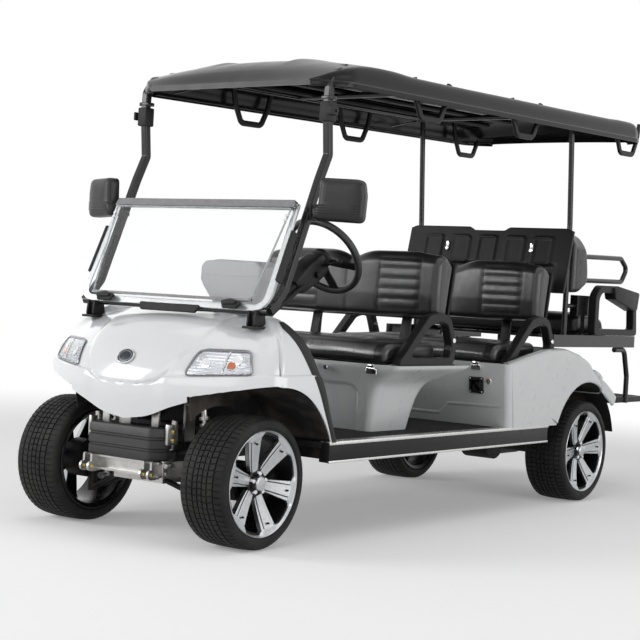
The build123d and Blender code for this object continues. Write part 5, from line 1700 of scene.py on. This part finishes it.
def quarter_rows(side, recess):
    """Sections of a side from its foot over its edge: down into the seat recess, or on to the middle."""
    line = resample(rounded(QUARTER, [0, 0.05, 0.12, 0.12, 0.12, 0.1, 0.06, 0], 6, closed=False), 0.012,
        closed=False)
    rows = []
    for i, p in enumerate(line):
        if (p[0] < RECESS_REAR + 0.012) != recess and not (not recess and abs(p[0] - RECESS_REAR) < 0.013):
            continue
        t = (Vector(line[min(i + 1, len(line) - 1)]) - Vector(line[max(i - 1, 0)])).normalized()
        down = Vector((t.y, -t.x))
        top = Vector(p)
        hem = top + down * EDGE
        foot_z = DECK if p[0] < 0.1 else 0.44
        fade = 1 - ease(p[0] - QUARTER[0][0], 0.0, 0.25)
        lean, begin = BODY_LEAN * fade, EDGE * fade
        row = []
        for k in range(25):
            share = k / 24
            row.append((BODY_HALF_REAR, hem.x + lean * (1 - share) + begin, foot_z + (hem.y - foot_z) * share))
        for k in range(1, 8):
            a = pi / 2 * k / 7
            q = top + down * EDGE * (1 - sin(a))
            row.append((BODY_HALF_REAR - EDGE + EDGE * cos(a), q.x + begin, q.y))
        if recess:
            row += [(0.556, top.x + begin, top.y), (0.553, top.x + begin, top.y - 0.003)]
            row += [(0.553, top.x + begin, top.y - 0.003 + (SEAT_DECK - top.y + 0.003) * k / 4)
                for k in range(1, 5)]
        else:
            row += [(0.56 * (1 - k / 8), top.x, top.y) for k in range(9)]
        rows.append([(side * x, REAR + y, z) for x, y, z in row])
    return rows


def on_front(x, z, out=0.0):
    """A point of the body's front face."""
    return (x, REAR - 0.784 - BODY_LEAN * (z - DECK) / BODY_TALL - out, z)


def make_rear_body():
    sheets = [grid(quarter_rows(side, recess)) for side in (1, -1) for recess in (True, False)]
    edge = [(BODY_HALF_REAR - EDGE + EDGE * cos(radians(a)), EDGE * (1 - sin(radians(a))))
        for a in range(0, 91, 15)]
    plan = edge + [(-x, y) for x, y in reversed(edge)]
    front = []
    for k in range(13):
        z = DECK + (SEAT_DECK + 0.006 - DECK) * k / 12
        front.append([(x, on_front(x, z)[1] + y, z) for x, y in plan])
    deck = [[(x, REAR + y, z) for x in (-0.553, 0.553)]
        for y, z in ((-0.815, SEAT_DECK), (RECESS_REAR, SEAT_DECK), (RECESS_REAR + 0.002, 0.774))]
    body = join(*sheets, grid(front), grid(deck))
    bmesh.ops.remove_doubles(body, verts=body.verts, dist=2e-4)
    bmesh.ops.recalc_face_normals(body, faces=body.faces)
    tree = surface_of(body)
    open_arch(body, REAR, REAR_ARCH, 0.36)
    build("rear_body_shell", body, "grey_paint", stands_for=("rear_body",), wall=0.003, sharp=50)
    liners = []
    for side in (1, -1):
        liners.append(lathe([(0.374, 0.05), (0.374, REAR_ARCH - 0.006), (0.38, REAR_ARCH - 0.0015),
            (0.588, REAR_ARCH - 0.0015)], (0, REAR, AXLE), side, steps=60, start=radians(14),
            turn=radians(150)))
    build("rear_arch_liners", join(*liners), "arch_liner", wall=0.002, outward=False)
    band = [(0.0005, -0.003), (0.0005, 0.005), (0.004, 0.0082), (0.012, 0.0092), (0.026, 0.0082),
        (0.042, 0.005), (0.056, 0.0018), (0.066, -0.0006), (0.07, -0.004)]
    flares = [grid(flare(tree, REAR, REAR_ARCH, 40, 154, side, band)) for side in (1, -1)]
    build("rear_arch_flares", join(*flares), "grey_paint", wall=0.002, sharp=60)
    step = [(-0.56, 0.497), (-0.262, 0.497), (-0.215, 0.446), (0.215, 0.446), (0.262, 0.497), (0.56, 0.504)]
    step = rounded(step, 0.03, 5, closed=False)
    build("body_step", grid([[on_front(x, z + dz, out) for x, z in step]
        for dz, out in ((0.006, -0.002), (0.004, 0.0015), (0.0, 0.0045), (-0.006, 0.0045), (-0.012, 0.001),
        (-0.014, -0.002))]), "grey_paint", wall=0.001, sharp=60)
    plate = [(0.387, 0.553), (0.463, 0.553), (0.463, 0.63), (0.387, 0.63)]
    cover = [[on_front(x, z, out) for x, z in (inset(rounded(plate, 0.008, 3), d) if d
        else rounded(plate, 0.008, 3))] for d, out in ((0, -0.004), (0, 0.007), (0.002, 0.009),
        (0.012, 0.0095), (0.014, 0.013), (0.022, 0.0135))]
    build("charge_cover", grid(cover, around=True, caps=True), "textured_black", stands_for=("charge_socket",))
    corners = [(0.425 + sx * 0.031, 0.5915 + sz * 0.031) for sx in (1, -1) for sz in (1, -1)]
    screws = [rod(on_front(x, z, 0.008), on_front(x, z, 0.0112), 0.0042, 12, 0.001) for x, z in corners]
    build("charge_cover_screws", join(*screws), "chrome")
    build("button_ring", rod(on_front(0.492, 0.615, -0.002), on_front(0.492, 0.615, 0.006), 0.014, 28, 0.0015),
        "chrome")
    for name, look, lift in (("stop", "button_red", 0.0055), ("go", "button_green", -0.0055)):
        build(f"button_{name}", rod(on_front(0.492, 0.615 + lift, 0.003),
            on_front(0.492, 0.615 + lift, 0.0095), 0.0048, 16, 0.001), look)
    catches, knobs = [], []
    for y, z in ((ROW_FRONT - 0.005, 0.674), (REAR - 0.82, 0.684)):
        for x in (0.427, -0.427):
            catches.append(block((x - 0.028, y - 0.012, z - 0.02), (x + 0.028, y + 0.006, z + 0.004), 0.003))
            catches.append(rod_x(x - 0.022, x + 0.022, y - 0.012, z + 0.004, 0.006, 14, 0.001))
            catches.append(block((x - 0.018, y - 0.016, z + 0.002), (x + 0.018, y - 0.006, z + 0.02), 0.002))
        for x in (0.185, -0.185):
            knobs.append(rod((x, y - 0.01, z - 0.008), (x, y + 0.01, z - 0.008), 0.011, 20, 0.002))
    build("seat_catches", join(*catches, *knobs), "chrome")


def make_sills(rib_pitch):
    low, high = place("rockers")
    strips = []
    for side in (1, -1):
        a, b = side_span(side, 0.552, high.x + 0.002)
        strips.append(block((a, low.y, high.z - 0.001), (b, high.y, high.z + 0.005), 0.002))
        a, b = side_span(side, high.x - 0.006, high.x + 0.003)
        strips.append(block((a, low.y, high.z - 0.009), (b, high.y, high.z + 0.004), 0.0015))
        strips.append(block((a, low.y, low.z - 0.001), (b, high.y, low.z + 0.009), 0.0015))
    build("sill_strips", join(*strips), "aluminium")
    faces = []
    for side in (1, -1):
        a, b = side_span(side, 0.545, high.x + 0.001)
        faces.append(block((a, low.y + 0.002, low.z), (b, high.y - 0.002, high.z), 0.004))
    build("sill_faces", join(*faces), "satin_black", stands_for=("rockers",))
    low, high = place("floor")
    rib = block((low.x + 0.012, low.y + 0.01, high.z - 0.002),
        (high.x - 0.012, low.y + 0.01 + rib_pitch * 0.5, high.z + 0.0018), 0.0008, 1)
    count = int((high.y - low.y - 0.02) / rib_pitch)
    repeated("mat_ribs", rib, "floor_mat", "row", {"Count": count, "Step": (0.0, rib_pitch, 0.0)})


# ---- hood trim and front running gear ------------------------------------------------------------
def make_hood_trim():
    rows = []
    count = 40
    for k in range(count + 1):
        z = 0.402 + (0.868 - 0.402) * k / count
        half, rear = hood_plan(z, 2, 1.0)
        wide = 0.026 + 0.03 * ease(z, 0.45, 0.8)
        inner = hood_plan(z, 2, 0.0)[1]
        share = max(0.0, 1 - wide / (rear - inner))
        x2, y2 = hood_plan(z, 2, share)
        x2 += hood_relief(x2, z, y2)
        out = half + hood_relief(half, z, rear)
        rows.append([(x2 - 0.001, FRONT + y2, z), (x2 + 0.0022, FRONT + y2 + 0.001, z),
            (x2 + 0.0036, FRONT + y2 + 0.006, z), (out + 0.0036, FRONT + rear + 0.001, z),
            (out + 0.001, FRONT + rear + 0.0045, z), (half - 0.03, FRONT + rear + 0.0045, z)])
    left = grid(rows)
    right = grid([[(-x, y, z) for x, y, z in row] for row in rows])
    build("hood_edge_trim", join(left, right), "textured_black", wall=0.002, sharp=50)


def make_front_gear():
    bolts, bars = [], []
    eye_y, plate_y = FRONT - 0.234, FRONT - 0.14
    for side in (1, -1):
        for x in (side * 0.178, side * 0.138):
            bolts.append(rod_x(x - 0.012, x + 0.012, eye_y, 0.262, 0.007, 6, 0.001))
        a, b = side_span(side, 0.196, 0.212)
        bars.append(rod((side * 0.19, plate_y, 0.355), (side * 0.205, plate_y, 0.47), 0.012, 14, 0.001))
        bars.append(block((a, plate_y - 0.045, 0.375), (b, plate_y + 0.015, 0.455), 0.004))
        for z in (0.425, 0.392):
            bolts.append(rod_x(side * 0.208, side * 0.22, plate_y - 0.015, z, 0.009, 6, 0.001))
    build("front_gear_brackets", join(*bars), "zinc_steel")
    build("front_gear_bolts", join(*bolts), "yellow_zinc")


# ---- armrests ----------------------------------------------------------------------------------
def reach_of(outline, centre, angle):
    """Distance from a centre to a closed outline in a direction."""
    d = Vector((cos(angle), sin(angle)))
    best = 0.0
    for i, b in enumerate(outline):
        a = Vector(outline[i - 1]) - Vector(centre)
        b = Vector(b) - Vector(centre)
        e = b - a
        cross = d.x * e.y - d.y * e.x
        if abs(cross) < 1e-9:
            continue
        t = (a.x * e.y - a.y * e.x) / cross
        s = (a.x * d.y - a.y * d.x) / cross
        if t > 0 and -1e-6 <= s <= 1 + 1e-6:
            best = max(best, t)
    return best


def loop_band(outer, hole, low, high, edge=0.004, steps=120):
    """A flat closed band between an outer (y, z) outline and its hole, with rounded edges."""
    cy, cz = centre_of(hole)
    rows = []
    for k in range(steps + 1):
        a = 2 * pi * (k % steps) / steps
        far, near = reach_of(outer, (cy, cz), a), reach_of(hole, (cy, cz), a)
        ring = [(near, low + edge), (near + edge, low), (far - edge, low), (far, low + edge),
            (far, high - edge), (far - edge, high), (near + edge, high), (near, high - edge)]
        rows.append([(x, cy + r * cos(a), cz + r * sin(a)) for r, x in ring])
    return welded(grid(rows, around=True))


ARM_OUTER = [(0.012, 0.6955), (0.25, 0.913), (0.356, 0.928), (0.426, 0.907), (0.486, 0.787), (0.462, 0.6955)]
ARM_HOLE = [(0.1, 0.73), (0.262, 0.868), (0.352, 0.888), (0.404, 0.874), (0.444, 0.788), (0.43, 0.73)]
REAR_ARM_OUTER = [(0.19, 0.842), (0.19, 1.052), (0.25, 1.104), (0.42, 1.104), (0.69, 1.074), (0.684, 0.973),
    (0.7, 0.842)]
REAR_ARM_HOLE = [(0.23, 0.876), (0.23, 1.036), (0.266, 1.066), (0.418, 1.066), (0.65, 1.04), (0.644, 0.973),
    (0.656, 0.876)]


def make_armrests():
    bands, bolts = [], []
    for y0 in (ROW_FRONT - 0.002, ROW_FRONT - 0.002 + ROW_PITCH):
        outer = rounded(shifted(ARM_OUTER, y0), [0.01, 0.07, 0.06, 0.05, 0.06, 0.03], 6)
        hole = rounded(shifted(ARM_HOLE, y0), [0.02, 0.05, 0.05, 0.03, 0.05, 0.02], 6)
        for side in (1, -1):
            low, high = side_span(side, 0.5, 0.545)
            bands.append(loop_band(outer, hole, low, high))
            bands.append(block((low - 0.004, y0 + 0.03, 0.6955), (high + 0.004, y0 + 0.47, 0.7015), 0.002))
            bolts.append(rod_x(side * 0.543, side * 0.5495, y0 + 0.455, 0.806, 0.011, 20, 0.002))
            bolts.append(rod_x(side * 0.488, side * 0.502, y0 + 0.43, 0.84, 0.01, 6, 0.001))
    build("armrest_bands", join(*bands), "satin_black", stands_for=("armrests",), sharp=30)
    build("armrest_bolts", join(*bolts), "chrome")
    rear = []
    outer = rounded(shifted(REAR_ARM_OUTER, REAR), [0.02, 0.06, 0.06, 0.05, 0.03, 0.05, 0.02], 6)
    hole = rounded(shifted(REAR_ARM_HOLE, REAR), [0.02, 0.05, 0.05, 0.03, 0.02, 0.05, 0.02], 6)
    for side in (1, -1):
        low, high = side_span(side, 0.482, 0.527)
        rear.append(loop_band(outer, hole, low, high))
        pad = shifted([(0.395, 1.035), (0.375, 1.092), (0.42, 1.106), (0.688, 1.076), (0.668, 0.985),
            (0.64, 0.975)], REAR)
        rear.append(slab(rounded(pad, 0.012, 4), low - 0.01, high + 0.012, 0.006, 3))
    build("rear_armrest_bands", join(*rear), "satin_black", stands_for=("rear_armrests",), sharp=30)


# ---- rear-facing seat ---------------------------------------------------------------------------
SHELL_SQUARES = (-0.33, -0.165, 0.0, 0.165, 0.33)


def make_rear_seat():
    def shape(x, y, z):
        # bevelled upper corners and a shallow dip in the middle
        corner = ease(abs(x), 0.4, 0.49)
        top = ease(z, 1.16, 1.35)
        return x, y, z - 0.055 * corner**2 * top - 0.012 * exp(-(x / 0.09)**2) * top

    strut = 0.0063
    pad = [(REAR + strut, 1.06), (REAR + 0.082, 1.055), (REAR + 0.165, 1.1), (REAR + 0.172, 1.15),
        (REAR + 0.148, 1.325), (REAR + 0.128, 1.356), (REAR + strut, 1.364)]
    ring = resample(rounded(pad, [0.01, 0.04, 0.04, 0.05, 0.03, 0.03, 0.012], 5), 0.013)
    seams = [1.13, 1.172, 1.214, 1.256, 1.298]

    def back_shape(x, y, z):
        behind = ease(y - REAR - 0.1, 0.0, 0.04)
        groove = exp(-(seam_lines(x, z, INSERTS, seams) / SEAM_WIDE)**2) * behind
        x, y, z = shape(x, y, z)
        return x, y - SEAM_DEEP * groove, z

    def back_pinned(p):
        if p.y < REAR + 0.03:
            return 1.0
        return 1.0 if seam_lines(p.x, p.z, INSERTS, seams) < SEAM_PINNED else 0.0

    back = padded("backrest_pad_rear", bench(ring, 0.488, 0.03, 80, back_shape), "backrest_rear", "cart",
        REAR_PUFF, back_pinned)
    lay_seams("backrest_seams_rear", back, INSERTS, seams, (0, -1, 0), REAR + 0.5, "cart")

    pad = shifted([(0.192, 0.8505), (0.184, 0.93), (0.215, 0.955), (0.33, 0.951), (0.44, 0.952),
        (0.508, 0.922), (0.533, 0.8505)], REAR)
    ring = resample(rounded(pad, [0.006, 0.04, 0.05, 0.1, 0.06, 0.05, 0.006], 5), 0.0125)
    rows = [REAR + 0.235, REAR + 0.29, REAR + 0.345, REAR + 0.4, REAR + 0.455]

    def cushion_shape(x, y, z):
        on_top = ease(z, 0.925, 0.948)
        groove = exp(-(seam_lines(x, y, INSERTS, rows) / SEAM_WIDE)**2) * on_top
        return x, y, z - SEAM_DEEP * groove + 0.004 * (1 - (x / 0.42)**4) * on_top - 0.002

    def cushion_pinned(p):
        if p.z < 0.86:
            return 1.0
        return 1.0 if p.z > 0.92 and seam_lines(p.x, p.y, INSERTS, rows) < SEAM_PINNED else 0.0

    cushion = padded("cushion_pad_rear", bench(ring, 0.42, 0.03, 74, cushion_shape), "cushion_rear",
        "flip_rear", REAR_PUFF, cushion_pinned)
    lay_seams("cushion_seams_rear", cushion, INSERTS, rows, (0, 0, -1), 1.15, "flip_rear")


def make_rear_shell():
    """Moulded shell in front of the backrest, with five raised rounded squares and a dipped top."""
    lines = []
    for i in range(99):
        x = -0.49 + 0.98 * i / 98
        top = 1.381 - 0.018 * (1 - ease(abs(x), 0.085, 0.125)) - 0.012 * ease(abs(x), 0.455, 0.49)
        line = []
        for k in range(61):
            z = 1.052 + (top - 1.052) * k / 60
            y = REAR - 0.116 + 0.076 * (z - 1.052) / 0.317
            near = min(abs(x - c) for c in SHELL_SQUARES)
            square = min(0.058 - near, 0.075 - abs(z - 1.262))
            far = hypot(max(0, near - 0.036), max(0, abs(z - 1.262) - 0.053))
            square = min(square, 0.022 - far) if far > 0 else square
            rim = ease(square, -0.001, 0.005) - 0.75 * ease(square, 0.009, 0.015)
            lower = 0.01 * ease(1.205 - z, 0.0, 0.03) * ease(0.43 - abs(x), 0.0, 0.03)
            line.append((x, y - 0.006 * rim + lower, z))
        lines.append(line)
    build("rear_shell_moulding", grid(lines), "satin_black", stands_for=("rear_shell",), wall=-0.018,
        bevel=0.003, sharp=45)
    knobs = []
    for x in (-0.235, 0.272):
        y = REAR - 0.116 + 0.076 * (1.262 - 1.052) / 0.317
        knobs.append(rod((x, y - 0.018, 1.262), (x, y, 1.262), 0.011, 20, 0.003))
        knobs.append(block((x - 0.009, y - 0.01, 1.262), (x + 0.009, y, 1.3), 0.003))
    build("rear_shell_fasteners", join(*knobs), "chrome")


def make_foot_plate():
    low, high = place("foot_plate")
    plate = [block(low, high, 0.009, 4)]
    plate += [block((low.x + 0.03, y, high.z - 0.001), (high.x - 0.03, y + 0.008, high.z + 0.0022), 0.001, 1)
        for y in [low.y + 0.03 + 0.02 * k for k in range(18)]]
    build("foot_plate_top", join(*plate), "textured_black", stands_for=("foot_plate",))


# ---- add-on ----------------------------------------------------------------------------------
class CartSettings(bpy.types.PropertyGroup):
    shell_colour: bpy.props.FloatVectorProperty(
        name="Shell colour", description="Paint of the hood", subtype="COLOR", size=3, min=0, max=1,
        default=(0.8, 0.81, 0.82))
    cabin_colour: bpy.props.FloatVectorProperty(
        name="Cabin colour", description="Paint of the seat pods and rear body", subtype="COLOR", size=3,
        min=0, max=1, default=(0.6, 0.61, 0.615))
    leather_colour: bpy.props.FloatVectorProperty(
        name="Seat colour", description="Vinyl of the seats", subtype="COLOR", size=3, min=0, max=1,
        default=(0.012, 0.012, 0.0125))
    spokes: bpy.props.IntProperty(
        name="Spokes", description="Spokes of each wheel", default=6, min=3, max=12)
    badge_width: bpy.props.FloatProperty(
        name="Badge half width", description="Half width of the oval badge", default=0.0435, unit="LENGTH")
    badge_height: bpy.props.FloatProperty(
        name="Badge half height", description="Half height of the oval badge", default=0.0275, unit="LENGTH")
    rib_pitch: bpy.props.FloatProperty(
        name="Mat rib pitch", description="Distance between the floor mat's ribs", default=0.014, unit="LENGTH")
    lamp_share: bpy.props.FloatProperty(
        name="Studio light", description="Share of the studio lamps' full power", default=0.3, subtype="FACTOR")
    sky: bpy.props.FloatProperty(
        name="Sky light", description="Strength of the even light from all round", default=0.24)


def settings():
    return bpy.context.scene.cart_settings


class CART_OT_stage(bpy.types.Operator):
    """Sets the studio floor, the soft lights and the camera"""
    bl_idname = "cart.stage"
    bl_label = "Stage"

    def execute(self, context):
        make_stage(settings().lamp_share, settings().sky)
        make_camera()
        return {"FINISHED"}


class CART_OT_finishes(bpy.types.Operator):
    """Makes the finishes and gives the frame's own pieces theirs"""
    bl_idname = "cart.finishes"
    bl_label = "Finishes"

    def execute(self, context):
        s = settings()
        make_finishes(tuple(s.shell_colour), tuple(s.cabin_colour), tuple(s.leather_colour))
        dress_frame()
        return {"FINISHED"}


class CART_OT_front(bpy.types.Operator):
    """Builds the hood with its trim, lamps, badge and bumper, and the brackets in front"""
    bl_idname = "cart.front"
    bl_label = "Hood and lamps"

    def execute(self, context):
        tree = make_hood()
        make_hood_trim()
        make_lamps(tree)
        make_badge(tree, settings().badge_width, settings().badge_height)
        make_bumper()
        make_front_gear()
        return {"FINISHED"}


class CART_OT_wheels(bpy.types.Operator):
    """Builds the four tyres with their tread, and the rims"""
    bl_idname = "cart.wheels"
    bl_label = "Wheels"

    def execute(self, context):
        make_wheels(settings().spokes)
        return {"FINISHED"}


class CART_OT_roof(bpy.types.Operator):
    """Builds the roof's shell, ribs and rims"""
    bl_idname = "cart.roof"
    bl_label = "Roof"

    def execute(self, context):
        make_roof()
        return {"FINISHED"}


class CART_OT_seats(bpy.types.Operator):
    """Builds the padded cushions and backrests with their seams"""
    bl_idname = "cart.seats"
    bl_label = "Seats"

    def execute(self, context):
        make_seats()
        return {"FINISHED"}


class CART_OT_windshield(bpy.types.Operator):
    """Builds the folding windshield with its latches and clamps, and the display housing"""
    bl_idname = "cart.windshield"
    bl_label = "Windshield"

    def execute(self, context):
        make_windshield()
        make_display()
        return {"FINISHED"}


class CART_OT_fittings(bpy.types.Operator):
    """Builds the grab handles, strut clamps and mirrors"""
    bl_idname = "cart.fittings"
    bl_label = "Handles and mirrors"

    def execute(self, context):
        make_fittings()
        make_mirrors()
        return {"FINISHED"}


class CART_OT_steering(bpy.types.Operator):
    """Builds the steering wheel, its shroud and stalks"""
    bl_idname = "cart.steering"
    bl_label = "Steering"

    def execute(self, context):
        make_steering()
        return {"FINISHED"}


class CART_OT_body(bpy.types.Operator):
    """Builds the front pod, rear body, sills and floor mat"""
    bl_idname = "cart.body"
    bl_label = "Pods and body"

    def execute(self, context):
        make_pods()
        make_rear_body()
        make_sills(settings().rib_pitch)
        return {"FINISHED"}


class CART_OT_armrests(bpy.types.Operator):
    """Builds the armrest loops of all three rows"""
    bl_idname = "cart.armrests"
    bl_label = "Armrests"

    def execute(self, context):
        make_armrests()
        return {"FINISHED"}


class CART_OT_rear_seat(bpy.types.Operator):
    """Builds the rear-facing seat, its moulded shell and the foot plate"""
    bl_idname = "cart.rear_seat"
    bl_label = "Rear seat"

    def execute(self, context):
        make_rear_seat()
        make_rear_shell()
        make_foot_plate()
        return {"FINISHED"}


OPERATORS = (CART_OT_stage, CART_OT_finishes, CART_OT_front, CART_OT_wheels, CART_OT_roof, CART_OT_windshield,
    CART_OT_fittings, CART_OT_steering, CART_OT_body, CART_OT_seats, CART_OT_armrests, CART_OT_rear_seat)


class CART_PT_panel(bpy.types.Panel):
    bl_label = "Cart"
    bl_idname = "CART_PT_panel"
    bl_space_type = "VIEW_3D"
    bl_region_type = "UI"
    bl_category = "Cart"

    def draw(self, context):
        for name in CartSettings.__annotations__:
            self.layout.prop(context.scene.cart_settings, name)
        for operator in OPERATORS:
            self.layout.operator(operator.bl_idname)


CLASSES = (CartSettings, *OPERATORS, CART_PT_panel)


def register():
    for item in CLASSES:
        bpy.utils.register_class(item)
    bpy.types.Scene.cart_settings = bpy.props.PointerProperty(type=CartSettings)


def unregister():
    del bpy.types.Scene.cart_settings
    for item in reversed(CLASSES):
        bpy.utils.unregister_class(item)


def main():
    register()
    for operator in OPERATORS:
        group, name = operator.bl_idname.split(".")
        getattr(getattr(bpy.ops, group), name)()


if __name__ == "__main__":
    main()
